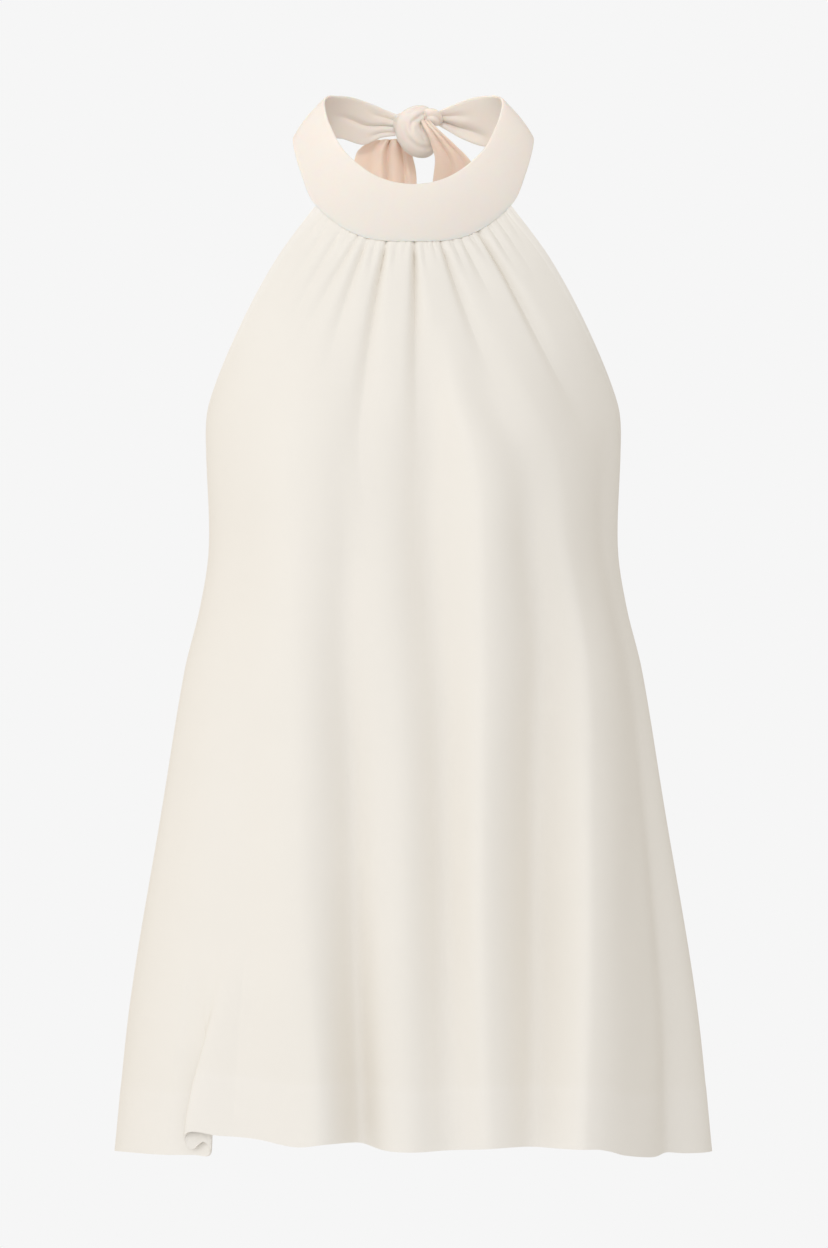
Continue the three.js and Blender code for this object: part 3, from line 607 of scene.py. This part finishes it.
def swept(path, creases, sides, steps, ridges, ridge_depth, seed):
    """A bunch of cloth along a path: rings with soft ridges and creases along it, closed at both ends."""
    rows = stepped(path)
    at = np.linspace(0, rows["step"][-1], steps)
    middle = np.stack([read(rows, "step", axis, at) for axis in "xyz"], -1)
    radius, flat = read(rows, "step", "r", at), read(rows, "step", "flat", at)
    along = unit(np.gradient(middle, axis=0))
    side = unit(np.cross((0.0, 1.0, 0.0), along))
    up = np.cross(along, side)
    angle = np.linspace(0, 2 * np.pi, sides, endpoint=False)
    draw = np.random.default_rng(seed)
    waves = np.zeros((steps, sides))
    for k in range(2, ridges + 2):
        waves += draw.uniform(0.4, 1) * np.cos(k * angle[None, :] + draw.uniform(0, 6.28)) / ridges**0.5
    ends = np.minimum(1, np.minimum(at, at[-1] - at) / 0.35 + 0.05) ** 0.5
    size = (radius * ends)[:, None] * (1 + ridge_depth * waves)
    gone = (at / at[-1])[:, None]
    seen = np.degrees(angle)[None, :] - 270
    for begin, end, from_turn, to_turn, depth, wide in zip(*creases.values()):
        part = np.clip((gone - begin) / (end - begin), 0, 1)
        offset = (seen - from_turn - (to_turn - from_turn) * part + 180) % 360 - 180
        size = size - depth * np.sin(np.pi * part) ** 0.7 * bell(offset / wide)
    ring = side[:, None] * (np.cos(angle) * size)[..., None]
    ring = ring + up[:, None] * (np.sin(angle) * size * flat[:, None])[..., None]
    points = (middle[:, None] + ring).reshape(-1, 3)
    corner = np.arange(steps - 1)[:, None] * sides + np.arange(sides)[None, :]
    after = np.arange(steps - 1)[:, None] * sides + (np.arange(sides) + 1)[None, :] % sides
    faces = np.stack([corner, after, after + sides, corner + sides], -1).reshape(-1, 4)
    first, last = np.arange(sides)[::-1], np.arange(sides) + (steps - 1) * sides
    return points, [*faces.tolist(), first.tolist(), last.tolist()]


def cloth_object(name, parts, material, masks=None):
    """One named mesh from several lots of points and faces, smooth but for its cut rims."""
    points, faces = [], []
    for part_points, part_faces in parts:
        start = sum(len(p) for p in points)
        points.append(np.asarray(part_points))
        faces.extend([[start + i for i in face] for face in np.asarray(part_faces, object).tolist()])
    mesh = bpy.data.meshes.new(name)
    mesh.from_pydata(np.concatenate(points).tolist(), [], faces)
    for mask, values in (masks or {}).items():
        layer = mesh.attributes.new(mask, "FLOAT", "POINT")
        layer.data.foreach_set("value", np.asarray(values, np.float32).ravel())
    mesh.shade_smooth()
    mesh.set_sharp_from_angle(angle=math.radians(62))
    mesh.validate()
    if not mesh.polygons:
        raise RuntimeError(f"{name} has no faces")
    mesh.materials.append(material)
    made = bpy.data.objects.new(name, mesh)
    bpy.context.scene.collection.objects.link(made)
    return made


def one_skin(made, fineness, rounds):
    """Joins a piece's bunches of cloth into one skin and softens the creases where they meet."""
    join = made.modifiers.new("join", "REMESH")
    join.mode = "VOXEL"
    join.voxel_size = fineness
    join.use_smooth_shade = True
    soften = made.modifiers.new("soften", "SMOOTH")
    soften.factor = 0.5
    soften.iterations = rounds
    shaped = made.evaluated_get(bpy.context.evaluated_depsgraph_get())
    made.data = bpy.data.meshes.new_from_object(shaped)
    made.modifiers.clear()
    return made


def dress(made, node):
    """Ties a piece to the frame and hides the node it replaces."""
    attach(made, "root")
    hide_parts(node)


def graded(stretches):
    """Places along a line: each stretch is (start, end, steps)."""
    places = [np.linspace(start, end, steps, endpoint=False) for start, end, steps in stretches]
    return np.append(np.concatenate(places), stretches[-1][1])


# Materials


def group_of(name, inputs, outputs):
    group = bpy.data.node_groups.new(name, "ShaderNodeTree")
    for label, kind, default in inputs:
        socket = group.interface.new_socket(label, in_out="INPUT", socket_type=kind)
        socket.default_value = default
    for label, kind in outputs:
        group.interface.new_socket(label, in_out="OUTPUT", socket_type=kind)
    return group, group.nodes.new("NodeGroupInput"), group.nodes.new("NodeGroupOutput")


def crepe_grain_group():
    """The pebbled face of crepe: a normal from fine crossed grain, and a faint mottle of shade."""
    if "Crepe Grain" in bpy.data.node_groups:
        return bpy.data.node_groups["Crepe Grain"]
    group, entry, leave = group_of(
        "Crepe Grain",
        [
            ("Colour", "NodeSocketColor", (0.8, 0.8, 0.8, 1)),
            ("Grain Size", "NodeSocketFloat", 0.0007),
            ("Grain Depth", "NodeSocketFloat", 0.00006),
            ("Mottle", "NodeSocketFloat", 0.02),
        ],
        [("Colour", "NodeSocketColor"), ("Normal", "NodeSocketVector")],
    )
    nodes, links = group.nodes, group.links
    place = nodes.new("ShaderNodeTexCoord")
    scale = nodes.new("ShaderNodeMath")
    scale.operation = "DIVIDE"
    scale.inputs[0].default_value = 1
    links.new(entry.outputs["Grain Size"], scale.inputs[1])
    grain = nodes.new("ShaderNodeTexNoise")
    grain.inputs["Detail"].default_value = 3
    grain.inputs["Roughness"].default_value = 0.6
    links.new(place.outputs["Object"], grain.inputs["Vector"])
    links.new(scale.outputs[0], grain.inputs["Scale"])
    bump = nodes.new("ShaderNodeBump")
    links.new(entry.outputs["Grain Depth"], bump.inputs["Distance"])
    links.new(grain.outputs["Fac"], bump.inputs["Height"])
    cloud = nodes.new("ShaderNodeTexNoise")
    cloud.inputs["Scale"].default_value = 26
    cloud.inputs["Detail"].default_value = 4
    links.new(place.outputs["Object"], cloud.inputs["Vector"])
    centred = nodes.new("ShaderNodeMath")
    centred.operation = "SUBTRACT"
    centred.inputs[1].default_value = 0.5
    links.new(cloud.outputs["Fac"], centred.inputs[0])
    amount = nodes.new("ShaderNodeMath")
    amount.operation = "MULTIPLY_ADD"
    amount.inputs[2].default_value = 1
    links.new(centred.outputs[0], amount.inputs[0])
    links.new(entry.outputs["Mottle"], amount.inputs[1])
    shaded = nodes.new("ShaderNodeVectorMath")
    shaded.operation = "SCALE"
    links.new(entry.outputs["Colour"], shaded.inputs[0])
    links.new(amount.outputs[0], shaded.inputs["Scale"])
    links.new(shaded.outputs[0], leave.inputs["Colour"])
    links.new(bump.outputs[0], leave.inputs["Normal"])
    return group


def crepe_material(name, colour, double_and_painted_shade_colour, grain_size, sheen, through=0.0):
    """Matt crepe; where its point mask is 1 it takes the second colour, which is the turned-up doubled cloth
    on the panels and painted warm shade on the neckband, knot and ties. Seen on edge it is darkened with
    painted shade.
    """
    if name in bpy.data.materials:
        return bpy.data.materials[name]
    material = bpy.data.materials.new(name)
    material.use_nodes = True
    nodes, links = material.node_tree.nodes, material.node_tree.links
    shader = nodes["Principled BSDF"]
    mask = nodes.new("ShaderNodeAttribute")
    mask.attribute_name = "double_and_painted_shade"
    mix = nodes.new("ShaderNodeMix")
    mix.data_type = "RGBA"
    mix.inputs["A"].default_value = (*colour, 1)
    mix.inputs["B"].default_value = (*double_and_painted_shade_colour, 1)
    links.new(mask.outputs["Fac"], mix.inputs["Factor"])
    grain = nodes.new("ShaderNodeGroup")
    grain.node_tree = crepe_grain_group()
    grain.inputs["Grain Size"].default_value = grain_size
    links.new(mix.outputs["Result"], grain.inputs["Colour"])
    # painted shade: where the cloth is seen on edge its colour is darkened and warmed towards the tint,
    # standing in for the lesser light coming through the thin cloth and for shade on surfaces turned away
    facing = nodes.new("ShaderNodeLayerWeight")
    facing.inputs["Blend"].default_value = 0.5
    turned = nodes.new("ShaderNodeMath")
    turned.operation = "POWER"
    turned.inputs[1].default_value = 1.5
    links.new(facing.outputs["Facing"], turned.inputs[0])
    painted_edge_shade = nodes.new("ShaderNodeMix")
    painted_edge_shade.data_type = "RGBA"
    painted_edge_shade.blend_type = "MULTIPLY"
    painted_edge_shade.inputs["B"].default_value = (*PAINTED_EDGE_SHADE, 1)
    links.new(turned.outputs[0], painted_edge_shade.inputs["Factor"])
    links.new(grain.outputs["Colour"], painted_edge_shade.inputs["A"])
    links.new(painted_edge_shade.outputs["Result"], shader.inputs["Base Color"])
    links.new(grain.outputs["Normal"], shader.inputs["Normal"])
    shader.inputs["Roughness"].default_value = 0.78
    shader.inputs["Specular IOR Level"].default_value = 0.28
    shader.inputs["Sheen Weight"].default_value = sheen
    shader.inputs["Sheen Roughness"].default_value = 0.5
    shader.inputs["Subsurface Weight"].default_value = through
    shader.inputs["Subsurface Radius"].default_value = (1.0, 0.5, 0.3)
    shader.inputs["Subsurface Scale"].default_value = 0.005
    return material


def floor_material(colour):
    """Pale floor that fades out towards its edge."""
    material = bpy.data.materials.new("pale_floor")
    material.use_nodes = True
    nodes, links = material.node_tree.nodes, material.node_tree.links
    shader = nodes["Principled BSDF"]
    shader.inputs["Base Color"].default_value = (*colour, 1)
    shader.inputs["Roughness"].default_value = 0.9
    place = nodes.new("ShaderNodeTexCoord")
    length = nodes.new("ShaderNodeVectorMath")
    length.operation = "LENGTH"
    links.new(place.outputs["Object"], length.inputs[0])
    fade = nodes.new("ShaderNodeMapRange")
    fade.inputs["From Min"].default_value = 0.5
    fade.inputs["From Max"].default_value = FLOOR_RADIUS
    fade.inputs["To Min"].default_value = 1
    fade.inputs["To Max"].default_value = 0
    fade.interpolation_type = "SMOOTHERSTEP"
    links.new(length.outputs["Value"], fade.inputs["Value"])
    links.new(fade.outputs["Result"], shader.inputs["Alpha"])
    return material


# The add-on


class HalterTopSizes(bpy.types.PropertyGroup):
    panel_wall: bpy.props.FloatProperty(
        name="Panel thickness",
        description="Thickness of the single crepe of the front and back",
        default=0.0009,
        unit="LENGTH",
    )
    band_wall: bpy.props.FloatProperty(
        name="Neckband thickness",
        description="Thickness of the folded neckband and its straps",
        default=0.0024,
        unit="LENGTH",
    )
    tie_wall: bpy.props.FloatProperty(
        name="Tie thickness",
        description="Thickness of the loose ends of the ties",
        default=0.0014,
        unit="LENGTH",
    )
    hem_depth: bpy.props.FloatProperty(
        name="Hem depth",
        description="How far the hem is turned up inside",
        default=0.044,
        unit="LENGTH",
    )
    armhole_edge: bpy.props.FloatProperty(
        name="Turned edge",
        description="Width of the turned edge at the armholes and the open back",
        default=0.007,
        unit="LENGTH",
    )
    pucker_depth: bpy.props.FloatProperty(
        name="Seam puckers",
        description="Depth of the short puckers at the seam under the neckband",
        default=0.0007,
        unit="LENGTH",
    )


class HalterTopLooks(bpy.types.PropertyGroup):
    cloth: bpy.props.FloatVectorProperty(
        name="Crepe",
        description="Colour of the front and back",
        default=(0.868, 0.838, 0.785),
        subtype="COLOR",
    )
    cloth_double: bpy.props.FloatVectorProperty(
        name="Crepe, doubled",
        description="Colour of the crepe where it is turned up",
        default=(0.876, 0.848, 0.800),
        subtype="COLOR",
    )
    band: bpy.props.FloatVectorProperty(
        name="Neckband",
        description="Colour of the neckband and the ties",
        default=(0.806, 0.766, 0.722),
        subtype="COLOR",
    )
    # painted warm shade: this peach stands in for light warmed between and through the folds of the ties and
    # the band; the cloth itself is cream
    tie_painted_shade: bpy.props.FloatVectorProperty(
        name="Ties",
        description="Colour of the loose ends and of the band's inner side, warmed by light between the folds",
        default=(0.815, 0.660, 0.575),
        subtype="COLOR",
    )
    glow: bpy.props.FloatProperty(
        name="Glow",
        description="How much light comes through the neckband and the ties",
        default=0.4,
        subtype="FACTOR",
    )
    sheen: bpy.props.FloatProperty(
        name="Sheen",
        description="Soft sheen of the crepe seen at a low angle",
        default=0.12,
        subtype="FACTOR",
    )
    backdrop: bpy.props.FloatProperty(
        name="Backdrop",
        description="Lightness of the plain surroundings",
        default=0.922,
        subtype="FACTOR",
    )
    fill: bpy.props.FloatProperty(
        name="Fill light",
        description="Strength of the light from all round",
        default=0.862,
    )
    fill_lean: bpy.props.FloatProperty(
        name="Fill lean",
        description="How much more of the light from all round comes from the left",
        default=0.20,
    )
    side_light: bpy.props.FloatProperty(
        name="Side light",
        description="Power of the large soft light at the left",
        default=7.0,
        unit="POWER",
    )
    nape_light: bpy.props.FloatProperty(
        name="Nape light",
        description="Power of the small soft light on the inside of the straps and the knot",
        default=50.0,
        unit="POWER",
    )
    front_light: bpy.props.FloatProperty(
        name="Front light",
        description="Power of the large soft light above the camera",
        default=5.0,
        unit="POWER",
    )


# painted shade: the warm darker tint that the crepe's colour is multiplied towards where it is seen on edge
PAINTED_EDGE_SHADE = (0.89, 0.86, 0.81)
FLOOR_RADIUS = 2.6
FLOOR_DROP = 0.45
CAMERA_DISTANCE = 3.5
CAMERA_HEIGHT = -0.363
CAMERA_SIDE = 0.0005
PICTURE_HEIGHT = 0.936


def band_look():
    looks = bpy.context.scene.halter_top_looks
    # crepe of the neckband, knot and ties, with painted warm shade and painted edge shade
    return crepe_material("doubled_crepe_painted_shade", looks.band, looks.tie_painted_shade, 0.0006, looks.sheen, looks.glow)


def panel_look():
    looks = bpy.context.scene.halter_top_looks
    # single crepe of the front and back, with painted edge shade
    return crepe_material("single_crepe_painted_shade", looks.cloth, looks.cloth_double, 0.0006, looks.sheen)


def turned_wall(share, drop, top_edge, sizes):
    """The panels' thickness and mask: thicker where the hem and the edges are turned."""
    hem = smoothstep(drop, HEM_DROP - sizes.hem_depth - 0.001, HEM_DROP - sizes.hem_depth + 0.001)
    ends = read(FRONT_ROWS, "drop", "end_x", drop)
    beside = (1 - np.abs(share)) * ends * 1.3
    above = np.clip(1 - (drop - UNDERARM_DROP) / 0.004, 0, 1)
    edge = (1 - smoothstep(beside, sizes.armhole_edge - 0.001, sizes.armhole_edge)) * above
    if top_edge:
        edge = np.maximum(
            edge, 1 - smoothstep(drop - UNDERARM_DROP, sizes.armhole_edge - 0.001, sizes.armhole_edge)
        )
    double_and_painted_shade = np.maximum(hem, edge)
    return sizes.panel_wall + 0.0005 * double_and_painted_shade, double_and_painted_shade


class OBJECT_OT_halter_front(bpy.types.Operator):
    """Build the flared front, gathered under the neckband"""

    bl_idname = "object.halter_front"
    bl_label = "Front"

    def execute(self, context):
        sizes = context.scene.halter_top_sizes
        left, right = TUCK["share"] - TUCK["half"], TUCK["share"] + TUCK["half"]
        shares = graded([(-1, left, 46), (left, right, 40), (right, 1, 254)])
        drops = graded([
            (-SEAM_ALLOWANCE, 0.002, 6),
            (0.002, 0.026, 18),
            (0.026, 0.110, 34),
            (0.110, 0.560, 62),
            (0.560, HEM_DROP, 24),
        ])
        drop, share = np.meshgrid(drops, shares, indexing="ij")
        middle = front_point(share, drop, sizes.pucker_depth)
        wall, double_and_painted_shade = turned_wall(share, drop, False, sizes)
        front = cloth_object(
            "front", [shell(middle, wall)], panel_look(), {"double_and_painted_shade": np.tile(double_and_painted_shade.ravel(), 2)}
        )
        dress(front, "front_panel")
        return {"FINISHED"}


class OBJECT_OT_halter_back(bpy.types.Operator):
    """Build the flared back, open above the underarm"""

    bl_idname = "object.halter_back"
    bl_label = "Back"

    def execute(self, context):
        sizes = context.scene.halter_top_sizes
        drops = graded([(UNDERARM_DROP, 0.175, 12), (0.175, 0.560, 90), (0.560, HEM_DROP, 34)])
        drop, share = np.meshgrid(drops, np.linspace(1, -1, 261), indexing="ij")
        wall, double_and_painted_shade = turned_wall(share, drop, True, sizes)
        back = cloth_object(
            "back",
            [shell(back_point(share, drop), wall)],
            panel_look(),
            {"double_and_painted_shade": np.tile(double_and_painted_shade.ravel(), 2)},
        )
        dress(back, "back_panel")
        return {"FINISHED"}


class OBJECT_OT_halter_neckband(bpy.types.Operator):
    """Build the wide neckband and the straps that run to the knot"""

    bl_idname = "object.halter_neckband"
    bl_label = "Neckband"

    def execute(self, context):
        sizes = context.scene.halter_top_sizes
        across = (1 - np.cos(np.linspace(0, np.pi, 45))) / 2
        across, turn = np.meshgrid(across, np.linspace(-BAND_TURN, BAND_TURN, 480), indexing="ij")
        rounded = np.clip(1 - (2 * across - 1) ** 18, 0, 1) ** 0.5
        sewn = smoothstep(across, 0.86, 1) * (1 - smoothstep(np.abs(turn), SEAM_TURN, SEAM_TURN + 8))
        wall = sizes.band_wall * (0.15 + 0.85 * np.maximum(rounded, 0.7 * sewn)) * (1 - 0.45 * sewn)
        # painted warm shade: the band's inner face takes up to 2% of the ties' peach towards the straps, its
        # outer face none
        inner = 0.02 * smoothstep(np.abs(turn), 60, 110).ravel()
        band = cloth_object(
            "neckband",
            [shell(band_point(turn, across), wall)],
            band_look(),
            {"double_and_painted_shade": np.append(0 * inner, inner)},
        )
        dress(band, "neckband")
        return {"FINISHED"}


class OBJECT_OT_halter_knot(bpy.types.Operator):
    """Build the knot at the nape"""

    bl_idname = "object.halter_knot"
    bl_label = "Knot"

    def execute(self, context):
        parts = [
            swept(WRAP_LOBE, WRAP_LOBE_CREASES, 120, 130, 4, 0.02, seed=4),
            swept(STRAP_LOBE, STRAP_LOBE_CREASES, 96, 90, 4, 0.02, seed=9),
            swept(TONGUE_LOBE, NO_CREASES, 56, 50, 4, 0.03, seed=7),
            swept(UPPER_LOOP, NO_CREASES, 44, 50, 3, 0.05, seed=5),
            swept(LOWER_LOOP, NO_CREASES, 40, 40, 3, 0.05, seed=8),
            swept(ROLL_LOBE, NO_CREASES, 40, 40, 3, 0.05, seed=6),
        ]
        knot = one_skin(cloth_object("knot", parts, band_look()), 0.00045, 4)
        # painted warm shade: a fifth of the ties' peach over the knot, fading out towards its left end where
        # the left strap enters
        painted_warm_shade = knot.data.attributes.new("double_and_painted_shade", "FLOAT", "POINT")
        places = np.empty(3 * len(knot.data.vertices), np.float32)
        knot.data.vertices.foreach_get("co", places)
        painted_warm_shade.data.foreach_set("value", 0.2 * smoothstep(places[::3], -0.018, -0.004).astype(np.float32))
        dress(knot, "knot")
        return {"FINISHED"}


class OBJECT_OT_halter_tails(bpy.types.Operator):
    """Build the two loose ends of the ties"""

    bl_idname = "object.halter_tails"
    bl_label = "Tails"

    def execute(self, context):
        sizes = context.scene.halter_top_sizes
        down, across = np.meshgrid(
            graded([(0, 0.5, 90), (0.5, 1, 50)]), np.linspace(0, 1, 110), indexing="ij"
        )
        for name, rows, pleats, slant in (
            ("tail_left", LEFT_TAIL, LEFT_PLEATS, -0.009),
            ("tail_right", RIGHT_TAIL, RIGHT_PLEATS, 0.009),
        ):
            rounded = np.clip(1 - (2 * across - 1) ** 24, 0, 1) ** 0.5
            wall = sizes.tie_wall * (0.15 + 0.85 * rounded)
            points = tail_point(rows, pleats, across, down, slant)
            # painted warm shade: the ties' peach in full on the face of each tail turned to the front, at 0.4
            # on the face turned to the back
            painted_warm_shade = np.append(np.ones(down.size), np.full(down.size, 0.4))
            tail = cloth_object(name, [shell(points, wall)], band_look(), {"double_and_painted_shade": painted_warm_shade})
            dress(tail, name)
        return {"FINISHED"}


class OBJECT_OT_halter_stage(bpy.types.Operator):
    """Set the pale floor, the soft lights and the camera"""

    bl_idname = "object.halter_stage"
    bl_label = "Stage"

    def execute(self, context):
        looks = context.scene.halter_top_looks
        scene = context.scene
        scene.view_settings.view_transform = "Standard"
        bpy.ops.mesh.primitive_circle_add(
            vertices=96,
            radius=FLOOR_RADIUS,
            fill_type="NGON",
            location=(0, 0, CAD_BOX[0][2] - FLOOR_DROP),
        )
        floor = context.object
        floor.name = "floor"
        floor.data.materials.append(floor_material((0.88, 0.88, 0.875)))

        world = bpy.data.worlds.new("plain_room")
        scene.world = world
        world.use_nodes = True
        nodes, links = world.node_tree.nodes, world.node_tree.links
        seen = nodes["Background"]
        seen.inputs["Color"].default_value = (looks.backdrop,) * 3 + (1,)
        lit = nodes.new("ShaderNodeBackground")
        lit.inputs["Color"].default_value = (1.0, 0.985, 0.965, 1)
        heading = nodes.new("ShaderNodeTexCoord")
        from_left = nodes.new("ShaderNodeVectorMath")
        from_left.operation = "DOT_PRODUCT"
        from_left.inputs[1].default_value = (-0.86, -0.5, 0.1)
        links.new(heading.outputs["Generated"], from_left.inputs[0])
        lean = nodes.new("ShaderNodeMath")
        lean.operation = "MULTIPLY_ADD"
        lean.inputs[1].default_value = looks.fill_lean
        lean.inputs[2].default_value = looks.fill
        links.new(from_left.outputs["Value"], lean.inputs[0])
        links.new(lean.outputs[0], lit.inputs["Strength"])
        path = nodes.new("ShaderNodeLightPath")
        mix = nodes.new("ShaderNodeMixShader")
        links.new(path.outputs["Is Camera Ray"], mix.inputs["Fac"])
        links.new(lit.outputs[0], mix.inputs[1])
        links.new(seen.outputs[0], mix.inputs[2])
        links.new(mix.outputs[0], nodes["World Output"].inputs["Surface"])

        for name, place, size, power in (
            ("side_light", (-3.1, -1.2, 0.5), 1.8, looks.side_light),
            ("front_light", (-0.2, -3.2, 1.5), 1.8, looks.front_light),
        ):
            lamp = bpy.data.lights.new(name, "AREA")
            lamp.shape = "DISK"
            lamp.size = size
            lamp.energy = power
            lamp.color = (1.0, 1.0, 1.0)
            holder = bpy.data.objects.new(name, lamp)
            holder.location = place
            aim = Vector((0, 0, CAMERA_HEIGHT)) - Vector(place)
            holder.rotation_euler = aim.to_track_quat("-Z", "Y").to_euler()
            scene.collection.objects.link(holder)

        nape = Vector((0, 0.055, 0.01))
        beam = bpy.data.lights.new("nape_light", "SPOT")
        beam.energy = looks.nape_light
        beam.color = (1.0, 0.93, 0.87)
        beam.spot_size = math.radians(7.2)
        beam.spot_blend = 0.7
        beam.shadow_soft_size = 0.12
        holder = bpy.data.objects.new("nape_light", beam)
        holder.location = (-0.1, -0.95, 0.80)
        holder.rotation_euler = (nape - holder.location).to_track_quat("-Z", "Y").to_euler()
        scene.collection.objects.link(holder)

        camera = bpy.data.cameras.new("camera")
        camera.lens = camera.sensor_width * CAMERA_DISTANCE / PICTURE_HEIGHT
        viewer = bpy.data.objects.new("camera", camera)
        viewer.location = (CAMERA_SIDE, -CAMERA_DISTANCE, CAMERA_HEIGHT)
        viewer.rotation_euler = (math.radians(90), 0, 0)
        scene.collection.objects.link(viewer)
        scene.camera = viewer
        return {"FINISHED"}


class VIEW3D_PT_halter_top(bpy.types.Panel):
    """Lists the pieces of the top and its sizes"""

    bl_label = "Halter Neck Top"
    bl_idname = "VIEW3D_PT_halter_top"
    bl_space_type = "VIEW_3D"
    bl_region_type = "UI"
    bl_category = "Halter Top"

    def draw(self, context):
        for step in STEPS:
            self.layout.operator(step.bl_idname)
        for group in (context.scene.halter_top_sizes, context.scene.halter_top_looks):
            box = self.layout.box()
            for name in group.__annotations__:
                box.prop(group, name)


STEPS = (
    OBJECT_OT_halter_front,
    OBJECT_OT_halter_back,
    OBJECT_OT_halter_neckband,
    OBJECT_OT_halter_knot,
    OBJECT_OT_halter_tails,
    OBJECT_OT_halter_stage,
)
CLASSES = (HalterTopSizes, HalterTopLooks, *STEPS, VIEW3D_PT_halter_top)


def register():
    for part in CLASSES:
        bpy.utils.register_class(part)
    bpy.types.Scene.halter_top_sizes = bpy.props.PointerProperty(type=HalterTopSizes)
    bpy.types.Scene.halter_top_looks = bpy.props.PointerProperty(type=HalterTopLooks)


def unregister():
    del bpy.types.Scene.halter_top_looks
    del bpy.types.Scene.halter_top_sizes
    for part in reversed(CLASSES):
        bpy.utils.unregister_class(part)


def main():
    register()
    bpy.ops.object.halter_front()
    bpy.ops.object.halter_back()
    bpy.ops.object.halter_neckband()
    bpy.ops.object.halter_knot()
    bpy.ops.object.halter_tails()
    bpy.ops.object.halter_stage()


if __name__ == "__main__":
    main()
